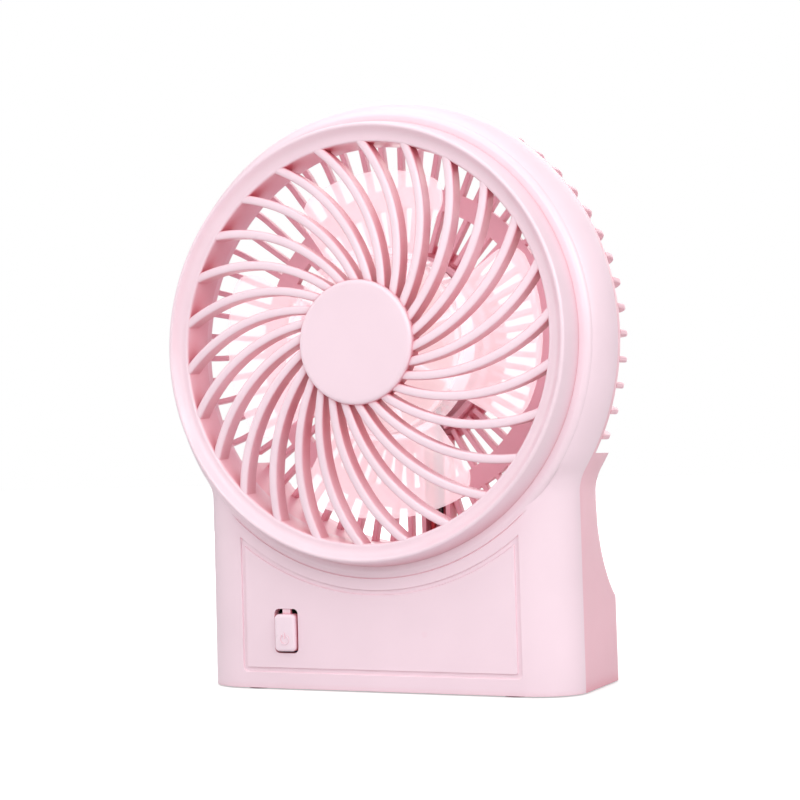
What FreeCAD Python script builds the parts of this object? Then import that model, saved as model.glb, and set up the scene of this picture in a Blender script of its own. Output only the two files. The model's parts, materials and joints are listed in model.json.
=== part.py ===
import FreeCAD, Part
import math
import os
import Sketcher
from FreeCAD import Placement, Rotation, Vector

# Small rechargeable fan: a round head on a flat-bottomed pedestal.
# Frame: +Z up, the front faces -Y, X = 0 is the plane of symmetry, and the feet stand on Z = 0.
# Every piece is drawn in a hub frame, which keep() stands up: x to the right, y up and z forward, with its
# origin on the fan's axis at Y = 0.

# Driving dimensions in millimetres and degrees. Each one becomes a named cell of the sheet "Sizes".
SIZES = {
    # overall form; heights are above the floor
    "hub_height": 73.5, "foot_proud": 0.3, "head_radius": 52.5, "leg_half": 43.3, "neck_radius": 10.0,
    "face": 13.2, "seam": 5.3, "rear_depth": 20.0, "bulge_top": 18.3, "waist_height": 39.8, "waist_depth": 9.1,
    "head_round": 5.0, "leg_round": 11.0, "rear_round": 5.5, "wall": 2.0, "base_trim": 5.0, "neck_top": 24.5,
    "corner_step": 1.5, "corner_half": 38.8,
    # air duct, grille seat and front panel
    "duct_radius": 43.5, "duct_outer": 45.0, "seat_outer": 49.0, "seat_face": 13.5,
    "panel_half": 32.5, "panel_arc": 52.0, "panel_low": 3.7, "groove_width": 0.9, "groove_depth": 0.35,
    # front grille
    "opening_radius": 42.0, "bezel_ridge": 45.6, "bezel_foot": 47.0, "bezel_face": 19.2, "opening_face": 17.5,
    "skirt_radius": 43.4, "skirt_back": 9.5, "grille_hub": 12.6, "cap_radius": 13.1, "cap_front": 20.0,
    "cap_back": 18.3, "hub_back": 14.6, "rib_half": 0.95, "rib_depth": 4.4, "rib_count": 26, "rib_crown": 19.2,
    "rib_arc": 38.0, "rib_first": 86.7,
    # rear grille
    "lip_back": 3.0, "rear_rib_count": 60, "rear_rib_half": 0.6, "rear_rib_depth": 2.2, "rear_face": 7.1,
    "rim_round": 7.0, "rim_radius": 52.4, "plate_radius": 23.3, "plate_face": 8.0, "plate_front": 6.4,
    "ring_inner": 31.0, "ring_outer": 35.5, "cup_radius": 20.6, "cup_inner": 19.2, "cup_front": 3.4,
    "channel_left": 3.6, "channel_right": 10.4, "channel_wall": 1.0,
    # rotor
    "rotor_rim": 12.0, "rotor_skirt": 4.0, "web_front": 8.8, "web_back": 7.6, "blade_tip": 37.3,
    "blade_thick": 1.3, "blade_span": 66.0, "blade_count": 4, "blade_lead": 125.0, "blade_front": 11.4,
    "blade_back": 4.4, "blade_round": 6.0, "boss_radius": 3.6, "boss_front": 11.2, "boss_back": 6.6,
    # motor
    "motor_radius": 12.2, "can_wall": 0.8, "can_front": 5.5, "can_back": 4.8, "end_cap_back": 6.2,
    "shaft_radius": 1.0, "shaft_front": 11.0, "shaft_back": 5.8, "bush_radius": 3.0, "bush_play": 0.03,
    "bush_front": 6.1, "bush_length": 1.8, "core_radius": 8.6, "core_front": 2.4, "core_back": 1.6,
    "holder_radius": 12.3, "holder_outer": 14.0, "retainer_radius": 18.4, "retainer_hole": 6.0,
    "retainer_front": 6.7, "retainer_screw_x": 16.0, "retainer_post": 2.2,
    # push button and indicator
    "button_x": 21.6, "slot_half": 2.85, "slot_low": 7.9, "slot_high": 17.4, "paddle_half": 2.5,
    "paddle_low": 8.3, "paddle_high": 16.3, "paddle_front": 14.3, "paddle_back": 11.7, "paddle_round": 0.9,
    "tongue_half": 0.95, "tongue_front": 13.0, "tongue_back": 12.2, "tongue_gap": 0.05,
    "mark_radius": 0.8, "mark_proud": 0.2, "mark_height": 10.6,
    "switch_height": 11.9, "switch_size": 6.0, "switch_front": 10.3, "plunger_radius": 1.75,
    "plunger_sunk": 0.25, "plunger_room": 0.6,
    "plunger_front": 11.65, "lamp_x": 11.1, "lamp_height": 12.4, "lamp_radius": 0.6, "lamp_play": 0.05,
    # battery
    "cell_radius": 9.0, "sleeve_radius": 9.2, "cell_half": 32.5, "cell_back": 8.6, "cell_height": 11.9,
    "cradle_half": 0.8, "cradle_x": 20.0, "cradle_top": 8.0, "tab_thick": 0.3, "tab_half": 3.0,
    "pad_thick": 1.2, "pad_half": 8.0,
    # circuit board and charging socket
    "board_front": 7.2, "board_back": 6.0, "board_left": 39.5, "board_right": 16.0, "board_low": 8.9,
    "board_high": 25.4, "board_screw_height": 21.8, "board_screw_left": 33.0, "board_screw_right": 12.0,
    "board_post": 2.2, "socket_height": 17.3, "socket_half": 2.87, "socket_round": 1.6, "socket_back": 2.8,
    "socket_mouth": 42.6, "socket_depth": 6.6, "socket_skin": 0.3, "socket_play": 0.1,
    # screws, feet and leads
    "screw_shank": 0.95, "screw_hole": 1.15, "screw_head": 1.9, "screw_sink": 2.1, "screw_seat": 0.6,
    "screw_top": 2.0, "screw_tip": 8.4, "screw_post": 3.2, "screw_low": 5.6, "screw_low_x": 37.6,
    "screw_high": 35.7, "screw_high_x": 36.4, "small_shank": 0.8, "small_head": 1.6, "small_head_back": 4.9,
    "small_tip": 10.2, "foot_radius": 3.0, "foot_thick": 1.3, "foot_x": 30.0, "foot_front": 9.3,
    "foot_rear": 13.0, "red_x": 6.1, "black_x": 7.9, "lead_radius": 0.55, "lead_back": 4.25,
    "lead_bend": 2.5, "lead_low": 24.0, "lead_top": 60.0,
}
# The hollow above the bulge is an arc that ends upright at the waist.
HOLLOW_REACH = SIZES["rear_depth"] - SIZES["waist_depth"]
HOLLOW_RISE = SIZES["waist_height"] - SIZES["bulge_top"]
SIZES["waist_radius"] = (HOLLOW_REACH ** 2 + HOLLOW_RISE ** 2) / (2 * HOLLOW_REACH)


def value(text):
    """The value of a sum of size names and numbers, such as 'face - wall'."""
    total, sign = 0.0, 1
    for word in text.split():
        if word in ("+", "-"):
            sign = 1 if word == "+" else -1
        else:
            total += sign * (SIZES[word] if word in SIZES else float(word))
    return total


def formula(text):
    """The same sum as an expression on the sheet's cells."""
    return " ".join("Sizes." + word if word in SIZES else word for word in text.split())


def less(text, taken):
    """The first sum with the second one taken away, as one sum."""
    words = [word for word in taken.split() if word]
    if words[0] not in ("+", "-"):
        words.insert(0, "+")
    flipped = {"+": "-", "-": "+"}
    return text + " " + " ".join(flipped.get(word, word) for word in words)


def fill_sheet():
    """Writes every driving dimension into its own named cell."""
    sheet = doc.addObject("Spreadsheet::Sheet", "Sizes")
    for row, (name, size) in enumerate(SIZES.items(), start=1):
        sheet.set(f"A{row}", name)
        sheet.set(f"B{row}", str(size))
        sheet.setAlias(f"B{row}", name)
    doc.recompute()


doc = FreeCAD.newDocument("HandFan")
fill_sheet()
nodes = {}


# ---------------------------------------------------------------- helpers

def bind(thing, **sums):
    """Ties properties to sums of sheet cells."""
    for name, text in sums.items():
        thing.setExpression(name, formula(text))


def place(thing, x="0", y="0", z="0", rotation=None):
    """Puts a piece at a point given as three sums, with an optional rotation."""
    if rotation is not None:
        thing.Placement = Placement(Vector(), rotation)
    for axis, text in zip("xyz", (x, y, z)):
        thing.setExpression(f"Placement.Base.{axis}", formula(text))
    return thing


def new_body(name):
    """An empty body, which may hold solids that don't touch."""
    body = doc.addObject("PartDesign::Body", name)
    body.Label = name
    body.AllowCompound = True
    return body


def new_sketch(body, name, plane_role, offset="0"):
    """A sketch on one of the body's own origin planes, moved along its normal."""
    sketch = body.newObject("Sketcher::SketchObject", name)
    plane = next(item for item in body.Origin.OriginFeatures if item.Role == plane_role)
    sketch.AttachmentSupport = [(plane, "")]
    sketch.MapMode = "FlatFace"
    sketch.setExpression("AttachmentOffset.Base.z", formula(offset))
    return sketch


def pin_vertex(sketch, edge, end, x, y):
    """Fixes one end of an edge at a point given as two sums."""
    for kind, text in (("DistanceX", x), ("DistanceY", y)):
        index = sketch.addConstraint(Sketcher.Constraint(kind, -1, 1, edge, end, value(text)))
        sketch.setExpression(f"Constraints[{index}]", formula(text))


def draw_polygon(sketch, points):
    """A closed outline of straight lines through points given as pairs of sums."""
    spots = [Vector(value(x), value(y), 0) for x, y in points]
    edges = []
    for start, end in zip(spots, spots[1:] + spots[:1]):
        edges.append(sketch.addGeometry(Part.LineSegment(start, end), False))
    for edge, following in zip(edges, edges[1:] + edges[:1]):
        sketch.addConstraint(Sketcher.Constraint("Coincident", edge, 2, following, 1))
    for edge, (x, y) in zip(edges, points):
        pin_vertex(sketch, edge, 1, x, y)


def turn(body, name, points, cut=False):
    """Turns an outline of (radius, forward) points about the hub axis, adding or cutting."""
    sketch = new_sketch(body, name + "Outline", "XZ_Plane")
    draw_polygon(sketch, points)
    kind = "PartDesign::Groove" if cut else "PartDesign::Revolution"
    feature = body.newObject(kind, name)
    feature.Profile = sketch
    feature.ReferenceAxis = (sketch, ["V_Axis"])
    feature.Angle = 360
    body.Tip = feature
    return feature


def pad(body, name, sketch, length, back=False, both=False):
    """Pads a sketch along its normal, against it, or by half each way."""
    feature = body.newObject("PartDesign::Pad", name)
    feature.Profile = sketch
    feature.Reversed = back
    feature.SideType = "Symmetric" if both else "One side"
    feature.setExpression("Length", formula(length))
    body.Tip = feature
    return feature


def around(body, name, feature, count):
    """Repeats a feature evenly about the hub axis."""
    pattern = body.newObject("PartDesign::PolarPattern", name)
    pattern.Originals = [feature]
    axis = next(item for item in body.Origin.OriginFeatures if item.Role == "Z_Axis")
    pattern.Axis = (axis, [""])
    pattern.Angle = 360
    pattern.setExpression("Occurrences", formula(count))
    body.Tip = pattern
    return pattern


def block(name, size, corner):
    """A box with its size and lowest corner given as sums."""
    box = doc.addObject("Part::Box", name)
    bind(box, Length=size[0], Width=size[1], Height=size[2])
    return place(box, *corner)


ALONG = {
    "forward": None,
    "up": Rotation(Vector(1, 0, 0), -90),
    "right": Rotation(Vector(0, 1, 0), 90),
}


def rod(name, radius, length, start, along="forward"):
    """A cylinder from a start point in a named direction."""
    cylinder = doc.addObject("Part::Cylinder", name)
    bind(cylinder, Radius=radius, Height=length)
    return place(cylinder, *start, rotation=ALONG[along])


def join(name, pieces):
    """One solid made of overlapping pieces."""
    fusion = doc.addObject("Part::MultiFuse", name)
    fusion.Shapes = pieces
    return fusion


def carve(name, base, tools):
    """A base with the tools taken away."""
    cut = doc.addObject("Part::Cut", name)
    cut.Base = base
    cut.Tool = tools[0] if len(tools) == 1 else join(name + "Tools", tools)
    return cut


def shared(name, pieces):
    """What all the pieces have in common."""
    common = doc.addObject("Part::MultiCommon", name)
    common.Shapes = pieces
    return common


def group(name, pieces):
    """Separate solids kept together as one node."""
    compound = doc.addObject("Part::Compound", name)
    compound.Links = pieces
    return compound


FACING_FRONT = Rotation(Vector(1, 0, 0), 90)


def keep(name, thing):
    """Stands a finished sub-part in the fan's frame and marks it to be written to its own file."""
    if any("Placement" in path for path, _ in thing.ExpressionEngine):
        thing = group(name + "Piece", [thing])
    place(thing, z="hub_height", rotation=FACING_FRONT)
    thing.Label = name
    nodes[name] = thing
    return thing


# ---------------------------------------------------------------- housing block

def draw_outline(sketch, inset):
    """The front outline: a head circle that runs through small neck arcs into two upright legs."""
    head = value("head_radius") - inset
    neck = value("neck_radius") + inset
    leg = value("leg_half") - inset
    low = -value("hub_height") - value("base_trim")
    middle_x = leg + neck
    middle_y = -math.sqrt((head + neck) ** 2 - middle_x ** 2)
    meet = math.atan2(middle_y, middle_x)
    up = Vector(0, 0, 1)
    right_neck = Part.Circle(Vector(middle_x, middle_y, 0), up, neck)
    left_neck = Part.Circle(Vector(-middle_x, middle_y, 0), up, neck)
    edges = [
        Part.ArcOfCircle(Part.Circle(Vector(), up, head), meet, math.pi - meet),
        Part.ArcOfCircle(left_neck, 0, -meet),
        Part.LineSegment(Vector(-leg, middle_y, 0), Vector(-leg, low, 0)),
        Part.LineSegment(Vector(-leg, low, 0), Vector(leg, low, 0)),
        Part.LineSegment(Vector(leg, low, 0), Vector(leg, middle_y, 0)),
        Part.ArcOfCircle(right_neck, math.pi + meet, math.pi),
    ]
    arc, left, left_leg, base, right_leg, right = (sketch.addGeometry(edge, False) for edge in edges)
    for rule in (
        ("Coincident", arc, 3, -1, 1), ("Tangent", arc, 2, left, 2), ("Tangent", left, 1, left_leg, 1),
        ("Coincident", left_leg, 2, base, 1), ("Coincident", base, 2, right_leg, 1),
        ("Tangent", right_leg, 2, right, 2), ("Tangent", right, 1, arc, 1), ("Horizontal", base),
    ):
        sketch.addConstraint(Sketcher.Constraint(*rule))
    for edge, text in ((arc, f"head_radius - {inset}"), (left, f"neck_radius + {inset}"),
                       (right, f"neck_radius + {inset}")):
        index = sketch.addConstraint(Sketcher.Constraint("Radius", edge, value(text)))
        sketch.setExpression(f"Constraints[{index}]", formula(text))
    pin_vertex(sketch, base, 1, f"- leg_half + {inset}", "- hub_height - base_trim")
    index = sketch.addConstraint(Sketcher.Constraint("DistanceX", -1, 1, right_leg, 1, leg))
    sketch.setExpression(f"Constraints[{index}]", formula(f"leg_half - {inset}"))


def rounded_front(name, inset):
    """The whole housing as one block, with its front edge rounded: little on the head, more on the legs."""
    body = new_body(name + "Block")
    sketch = new_sketch(body, name + "Outline", "XY_Plane", f"- rear_depth + {inset}")
    draw_outline(sketch, inset)
    pad(body, name + "Pad", sketch, f"face + rear_depth - {2 * inset}")
    doc.recompute()
    head_round = value("head_round") - inset
    leg_round = value("leg_round") - inset
    front = value("face") - inset
    leg = value("leg_half") - inset
    rounds = []
    for number, edge in enumerate(body.Shape.Edges, start=1):
        ends = [edge.valueAt(edge.FirstParameter), edge.valueAt(edge.LastParameter)]
        if any(abs(end.z - front) > 0.001 for end in ends):
            continue
        on_leg = [abs(abs(end.x) - leg) < 0.001 for end in ends]
        if all(on_leg) and abs(ends[0].x - ends[1].x) > 1:
            continue
        start_round, end_round = (leg_round if touching else head_round for touching in on_leg)
        rounds.append((number, end_round, start_round))
    fillet = doc.addObject("Part::Fillet", name + "Rounded")
    fillet.Base = body
    fillet.Edges = rounds
    return fillet


def draw_side(sketch, inset, top):
    """The side view of the pedestal, drawn as (up, forward): an upright bulge, then a hollow curve to the waist."""
    radius = value("waist_radius") + inset
    back = -value("rear_depth") + inset
    waist = -value("waist_depth") + inset
    centre_up = value("waist_height - hub_height")
    centre = Vector(centre_up, -value("waist_depth") - value("waist_radius"), 0)
    knee_up = centre_up - math.sqrt(radius ** 2 - (back - centre.y) ** 2)
    low = -value("hub_height") - value("base_trim")
    ahead = value("face") + value("base_trim")
    high = value(top)
    start = math.atan2(back - centre.y, knee_up - centre_up)
    edges = [
        Part.LineSegment(Vector(low, ahead, 0), Vector(low, back, 0)),
        Part.LineSegment(Vector(low, back, 0), Vector(knee_up, back, 0)),
        Part.ArcOfCircle(Part.Circle(centre, Vector(0, 0, 1), radius), math.pi / 2, start),
        Part.LineSegment(Vector(centre_up, waist, 0), Vector(high, waist, 0)),
        Part.LineSegment(Vector(high, waist, 0), Vector(high, ahead, 0)),
        Part.LineSegment(Vector(high, ahead, 0), Vector(low, ahead, 0)),
    ]
    base, rear, curve, neck, lid, front = (sketch.addGeometry(edge, False) for edge in edges)
    for rule in (
        ("Coincident", base, 2, rear, 1), ("Coincident", rear, 2, curve, 2), ("Tangent", curve, 1, neck, 1),
        ("Coincident", neck, 2, lid, 1), ("Coincident", lid, 2, front, 1), ("Coincident", front, 2, base, 1),
    ):
        sketch.addConstraint(Sketcher.Constraint(*rule))
    pin_vertex(sketch, base, 1, "- hub_height - base_trim", "face + base_trim")
    pin_vertex(sketch, rear, 1, "- hub_height - base_trim", f"- rear_depth + {inset}")
    pin_vertex(sketch, lid, 1, top, f"- waist_depth + {inset}")
    pin_vertex(sketch, lid, 2, top, "face + base_trim")
    pin_vertex(sketch, curve, 3, "waist_height - hub_height", "- waist_depth - waist_radius")


def pedestal_rear(name, inset, top, rounded_block):
    """The pedestal's side view run right across, shared with the rounded block."""
    body = new_body(name + "Side")
    sketch = new_sketch(body, name + "SideView", "YZ_Plane")
    draw_side(sketch, inset, top)
    pad(body, name + "SidePad", sketch, "head_radius + head_radius + base_trim", both=True)
    return shared(name + "Rear", [rounded_block, body])


def rear_rounded(name, base):
    """The rear block with its upright rear edges rounded, from the base to the neck."""
    doc.recompute()
    leg = value("leg_half")
    waist = -value("waist_depth")
    back = -value("rear_depth")
    radius = value("rear_round")
    rounds = []
    for number, edge in enumerate(base.Shape.Edges, start=1):
        ends = [edge.valueAt(edge.FirstParameter), edge.valueAt(edge.LastParameter)]
        behind = all(back - 0.001 < end.z < waist + 0.001 for end in ends)
        outside = all(abs(end.x) > leg - 0.001 for end in ends)
        if behind and outside and abs(ends[0].y - ends[1].y) > 0.5:
            rounds.append((number, radius, radius))
    fillet = doc.addObject("Part::Fillet", name)
    fillet.Base = base
    fillet.Edges = rounds
    return fillet


outer_block = rounded_front("outer", 0)
inner_block = rounded_front("inner", SIZES["wall"])
rear_outer = rear_rounded("rearOuter", pedestal_rear("outer", 0, "- neck_top", outer_block))
rear_inner = pedestal_rear("inner", SIZES["wall"], "- neck_top - wall", inner_block)

# How high the floor of the housing and its inner floor lie in the hub frame.
BASE = "foot_proud - hub_height"
FLOOR = "foot_proud + wall - hub_height"
WIDE = "head_radius + head_radius + base_trim + base_trim"
SIDE = "- head_radius - base_trim"


def slab(name, low, back, front):
    """Everything above a height, between two depths."""
    return block(name, (WIDE, WIDE + " + hub_height", less(front, back)), (SIDE, low, back))


def ring_of(name, outer, inner, back, front):
    """A plain ring on the fan's axis."""
    length = less(front, back)
    return carve(name, rod(name + "Disc", outer, length, ("0", "0", back)),
                 [rod(name + "Bore", inner, f"{length} + 2", ("0", "0", f"{back} - 1"))])


SCREW_SPOTS = [(side + column, row) for column, row in (("screw_low_x", "screw_low"), ("screw_high_x", "screw_high"))
               for side in ("- ", "")]
FOOT_SPOTS = [(side + "foot_x", depth) for depth in ("foot_front", "- foot_rear") for side in ("- ", "")]


def foot_recesses(name):
    """The shallow seats for the rubber feet."""
    return join(name, [rod(f"{name}{number}", "foot_radius", "foot_thick - foot_proud", (x, BASE, z), "up")
                       for number, (x, z) in enumerate(FOOT_SPOTS)])


def stadium(name, play, left, length):
    """The charging socket's rounded section, run along x."""
    straight = "socket_half"
    middle = "board_back"
    pieces = []
    for number, side in enumerate(("- ", "+ ")):
        pieces.append(rod(f"{name}Round{number}", f"socket_round {play}", length,
                          (left, f"socket_height - hub_height {side}{straight}", f"{middle} - socket_round"), "right"))
    pieces.append(block(name + "Middle", (length, "socket_half + socket_half",
                                          f"socket_round + socket_round {play} {play}"),
                        (left, "socket_height - hub_height - socket_half",
                         f"{middle} - socket_round - socket_round {play.replace('+', '-')}")))
    return join(name, pieces)


# ---------------------------------------------------------------- front shell

def draw_panel(sketch, inset):
    """The front panel's outline: straight sides and bottom, and a top edge that runs round the head."""
    half = value(f"panel_half {inset}")
    low = value(f"panel_low - hub_height {inset.replace('-', '+')}")
    radius = value(f"panel_arc {inset.replace('-', '+')}")
    high = -math.sqrt(radius ** 2 - half ** 2)
    start = math.atan2(high, -half)
    top = Part.ArcOfCircle(Part.Circle(Vector(), Vector(0, 0, 1), radius), start, math.atan2(high, half))
    edges = [
        top,
        Part.LineSegment(Vector(half, high, 0), Vector(half, low, 0)),
        Part.LineSegment(Vector(half, low, 0), Vector(-half, low, 0)),
        Part.LineSegment(Vector(-half, low, 0), Vector(-half, high, 0)),
    ]
    arc, right, base, left = (sketch.addGeometry(edge, False) for edge in edges)
    for rule in (("Coincident", arc, 3, -1, 1), ("Coincident", arc, 2, right, 1), ("Coincident", right, 2, base, 1),
                 ("Coincident", base, 2, left, 1), ("Coincident", left, 2, arc, 1), ("Vertical", right),
                 ("Vertical", left), ("Horizontal", base)):
        sketch.addConstraint(Sketcher.Constraint(*rule))
    index = sketch.addConstraint(Sketcher.Constraint("Radius", arc, radius))
    sketch.setExpression(f"Constraints[{index}]", formula(f"panel_arc {inset.replace('-', '+')}"))
    pin_vertex(sketch, base, 1, f"panel_half {inset}", f"panel_low - hub_height {inset.replace('-', '+')}")
    index = sketch.addConstraint(Sketcher.Constraint("DistanceX", base, 2, -1, 1, half))
    sketch.setExpression(f"Constraints[{index}]", formula(f"panel_half {inset}"))


def front_shell():
    """The head ring and the pedestal's front half, open behind, with its posts and seats."""
    shell = shared("frontWall", [outer_block, slab("frontSlab", BASE, "seam", "face + 1")])
    hollow = shared("frontHollow", [inner_block, slab("frontHollowSlab", FLOOR, "seam - 1", "face")])
    duct = ring_of("frontDuct", "duct_outer", "duct_radius", "seam", "face - wall")
    hollow = carve("frontCavity", hollow, [rod("frontKeep", "duct_outer", "face + face", ("0", "0", "- face"))])
    walls = carve("frontWalls", shell, [hollow])
    seat = ring_of("grilleSeat", "seat_outer", "duct_radius", "face - wall", "seat_face")
    posts = []
    for number, (x, height) in enumerate(SCREW_SPOTS):
        posts.append(rod(f"frontPost{number}", "screw_post", "face - wall - seam",
                         (x, f"{height} - hub_height", "seam")))
    for side, x in (("Left", "- board_screw_left"), ("Right", "board_screw_right")):
        posts.append(rod("boardPost" + side, "board_post", "face - wall - board_front",
                         (x, "board_screw_height - hub_height", "board_front")))
    posts = shared("frontPosts", [join("frontPostsAll", posts), outer_block])
    solid = join("frontSolid", [walls, duct, seat, posts])

    groove_body = new_body("panelGroove")
    sketch = new_sketch(groove_body, "panelOutline", "XY_Plane", "face - groove_depth")
    draw_panel(sketch, "")
    draw_panel(sketch, "- groove_width")
    pad(groove_body, "panelGroovePad", sketch, "groove_depth + 1")

    tools = [groove_body, foot_recesses("frontFeet")]
    tools.append(rod("opening", "duct_radius", "seat_face + 1", ("0", "0", "0")))
    tools.append(block("buttonSlot", ("slot_half + slot_half", "slot_high - slot_low", "face"),
                       ("- button_x - slot_half", "slot_low - hub_height", "seam")))
    tools.append(rod("lampHole", "lamp_radius + lamp_play", "face",
                     ("lamp_x", "lamp_height - hub_height", "seam")))
    tools.append(stadium("frontPort", "+ socket_play", "- leg_half - 1", "socket_depth"))
    for number, (x, height) in enumerate(SCREW_SPOTS):
        tools.append(rod(f"frontPilot{number}", "screw_shank", "screw_tip + 0.5 - seam",
                         (x, f"{height} - hub_height", "seam")))
    for side, x in (("Left", "- board_screw_left"), ("Right", "board_screw_right")):
        tools.append(rod("boardPilot" + side, "small_shank", "small_tip + 0.3 - board_front",
                         (x, "board_screw_height - hub_height", "board_front")))
    return carve("frontShell", solid, tools)


keep("front_shell", front_shell())


# ---------------------------------------------------------------- rear cover

def rear_grille_bars(name):
    """The radial bars, which run straight across the back and then wrap round the head's rim."""
    body = new_body(name + "RearBars")
    sketch = new_sketch(body, name + "RearBarOutline", "XZ_Plane")
    start = value("plate_radius") - 1
    rim, bend = value("rim_radius"), value("rim_round")
    back, lip, deep = -value("rear_face"), value("lip_back"), value("rear_rib_depth")
    centre = Vector(rim - bend, back + bend, 0)
    up = Vector(0, 0, 1)
    edges = [
        Part.LineSegment(Vector(start, back, 0), Vector(rim - bend, back, 0)),
        Part.ArcOfCircle(Part.Circle(centre, up, bend), -math.pi / 2, 0),
        Part.LineSegment(Vector(rim, back + bend, 0), Vector(rim, lip, 0)),
        Part.LineSegment(Vector(rim, lip, 0), Vector(rim - deep, lip, 0)),
        Part.LineSegment(Vector(rim - deep, lip, 0), Vector(rim - deep, back + bend, 0)),
        Part.ArcOfCircle(Part.Circle(centre, up, bend - deep), -math.pi / 2, 0),
        Part.LineSegment(Vector(rim - bend, back + deep, 0), Vector(start, back + deep, 0)),
        Part.LineSegment(Vector(start, back + deep, 0), Vector(start, back, 0)),
    ]
    straight, outer, wall, lid, inner_wall, inner, top, end = (sketch.addGeometry(edge, False) for edge in edges)
    for rule in (
        ("Coincident", end, 2, straight, 1), ("Tangent", straight, 2, outer, 1), ("Tangent", outer, 2, wall, 1),
        ("Coincident", wall, 2, lid, 1), ("Coincident", lid, 2, inner_wall, 1), ("Horizontal", straight),
        ("Tangent", inner_wall, 2, inner, 2), ("Tangent", inner, 1, top, 1), ("Coincident", top, 2, end, 1),
        ("Coincident", outer, 3, inner, 3), ("Vertical", end),
    ):
        sketch.addConstraint(Sketcher.Constraint(*rule))
    pin_vertex(sketch, straight, 1, "plate_radius - 1", "- rear_face")
    pin_vertex(sketch, wall, 2, "rim_radius", "lip_back")
    pin_vertex(sketch, lid, 2, "rim_radius - rear_rib_depth", "lip_back")
    index = sketch.addConstraint(Sketcher.Constraint("Radius", outer, bend))
    sketch.setExpression(f"Constraints[{index}]", formula("rim_round"))
    bar = pad(body, name + "RearBar", sketch, "rear_rib_half + rear_rib_half", both=True)
    around(body, name + "RearBarPattern", bar, "rear_rib_count")
    return body


def lead_room(name):
    """The space that the motor's leads take on their way out through the mount and down the channel."""
    return block(name, ("channel_right - channel_left - channel_wall - channel_wall",
                        "duct_outer - holder_outer + 6", "rear_face - cup_front"),
                 ("channel_left + channel_wall", "- duct_outer - 0.5", "- rear_face + channel_wall"))


def rear_grille():
    """The rear cover's flat middle: its bars, ring and plate, with the lead channel."""
    ring = ring_of("middleRing", "ring_outer", "ring_inner", "- rear_face", "- rear_face + rear_rib_depth")
    plate = rod("plate", "plate_radius", "plate_face - plate_front", ("0", "0", "- plate_face"))
    channel = block("channel", ("channel_right - channel_left", "duct_radius - cup_inner - 0.5",
                                "rear_face - cup_front"),
                    ("channel_left", "- duct_radius + 0.5", "- rear_face"))
    middle = rod("middleReach", "duct_radius", "rear_depth", ("0", "0", "- rear_depth"))
    reach = shared("middleParts", [join("middleLong", [rear_grille_bars("middle"), channel]), middle])
    full = join("middleFull", [reach, ring, plate])
    clear = rod("mountClear", "cup_radius", "rear_depth", ("0", "0", "- plate_front"))
    return carve("rearGrille", full, [lead_room("channelRoom"), clear])


def motor_mount():
    """The motor's cup and holder and the retainer's posts, which stand on the grille's plate."""
    cup = ring_of("motorCup", "cup_radius", "cup_inner", "- plate_front", "- cup_front")
    holder = ring_of("motorHolder", "holder_outer", "holder_radius", "- plate_front", "- cup_front + 1")
    posts = [rod("retainerPost" + side, "retainer_post", "can_front + plate_front",
                 (sign + "retainer_screw_x", "0", "- plate_front"))
             for side, sign in (("Left", "- "), ("Right", ""))]
    floor = rod("mountFloor", "cup_inner + 0.5", "plate_front - end_cap_back", ("0", "0", "- plate_front"))
    tools = [lead_room("mountRoom")]
    for side, sign in (("Left", "- "), ("Right", "")):
        tools.append(rod("retainerPilot" + side, "small_shank", "can_front + 1.5",
                         (sign + "retainer_screw_x", "0", "- 1.5")))
    return carve("motorMount", join("mountWhole", [cup, holder, floor] + posts), tools)


def rear_cover():
    """The pedestal's rear half and the rim of the rear grille, moulded with the grille's flat middle."""
    lip = ring_of("lip", "head_radius", "head_radius - wall", "lip_back", "seam")
    pedestal = shared("rearWall", [rear_outer, slab("rearSlab", BASE, "- rear_depth", "seam")])
    solid = carve("rearSolid", join("rearShell", [rear_grille_bars("rim"), lip, pedestal]),
                  [rod("ductCut", "duct_radius", "rear_depth + face", ("0", "0", "- rear_depth"))])

    near_seam = slab("rearHollowSlab", FLOOR, "- corner_step", "seam + 1")
    behind = block("rearHollowDeep", ("corner_half + corner_half", "hub_height", "rear_depth"),
                   ("- corner_half", FLOOR, "- corner_step - rear_depth"))
    cavity = shared("rearHollow", [rear_inner, join("rearHollowReach", [near_seam, behind])])
    cavity = carve("rearCavity", cavity, [rod("rearKeep", "duct_outer", "rear_depth + face",
                                              ("0", "0", "- rear_depth"))])
    hollow_solid = carve("rearWalls", solid, [cavity])

    inside = []
    for number, (x, height) in enumerate(SCREW_SPOTS):
        inside.append(rod(f"rearPost{number}", "screw_post", "rear_depth + seam",
                          (x, f"{height} - hub_height", "- rear_depth")))
    for number, x in enumerate(("- cradle_x", "0", "cradle_x")):
        inside.append(block(f"cradle{number}", ("cradle_half + cradle_half", "cradle_top", "rear_depth"),
                            (f"{x} - cradle_half", FLOOR, "- rear_depth")))
    inside = shared("rearInside", [join("rearInsideAll", inside), rear_outer])
    full = join("rearFull", [hollow_solid, inside])

    tools = [foot_recesses("rearFeet"), stadium("rearPort", "+ socket_play", "- leg_half - 1", "socket_depth")]
    tools.append(rod("cellRoom", "sleeve_radius + lamp_play", "cell_half + cell_half + 2",
                     ("- cell_half - 1", "cell_height - hub_height", "- cell_back"), "right"))
    for number, (x, height) in enumerate(SCREW_SPOTS):
        spot = (x, f"{height} - hub_height")
        tools.append(rod(f"rearHole{number}", "screw_hole", "rear_depth + seam", (*spot, "- rear_depth")))
        tools.append(rod(f"rearSink{number}", "screw_sink", "rear_depth - screw_seat", (*spot, "- rear_depth")))
    tools.append(block("leadHole", ("channel_right - channel_left - channel_wall - channel_wall",
                                    "duct_outer - duct_radius + 2", "rear_face - cup_front"),
                       ("channel_left + channel_wall", "- duct_outer - 0.5", "- rear_face + channel_wall")))
    return carve("rearCover", full, tools)


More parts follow.
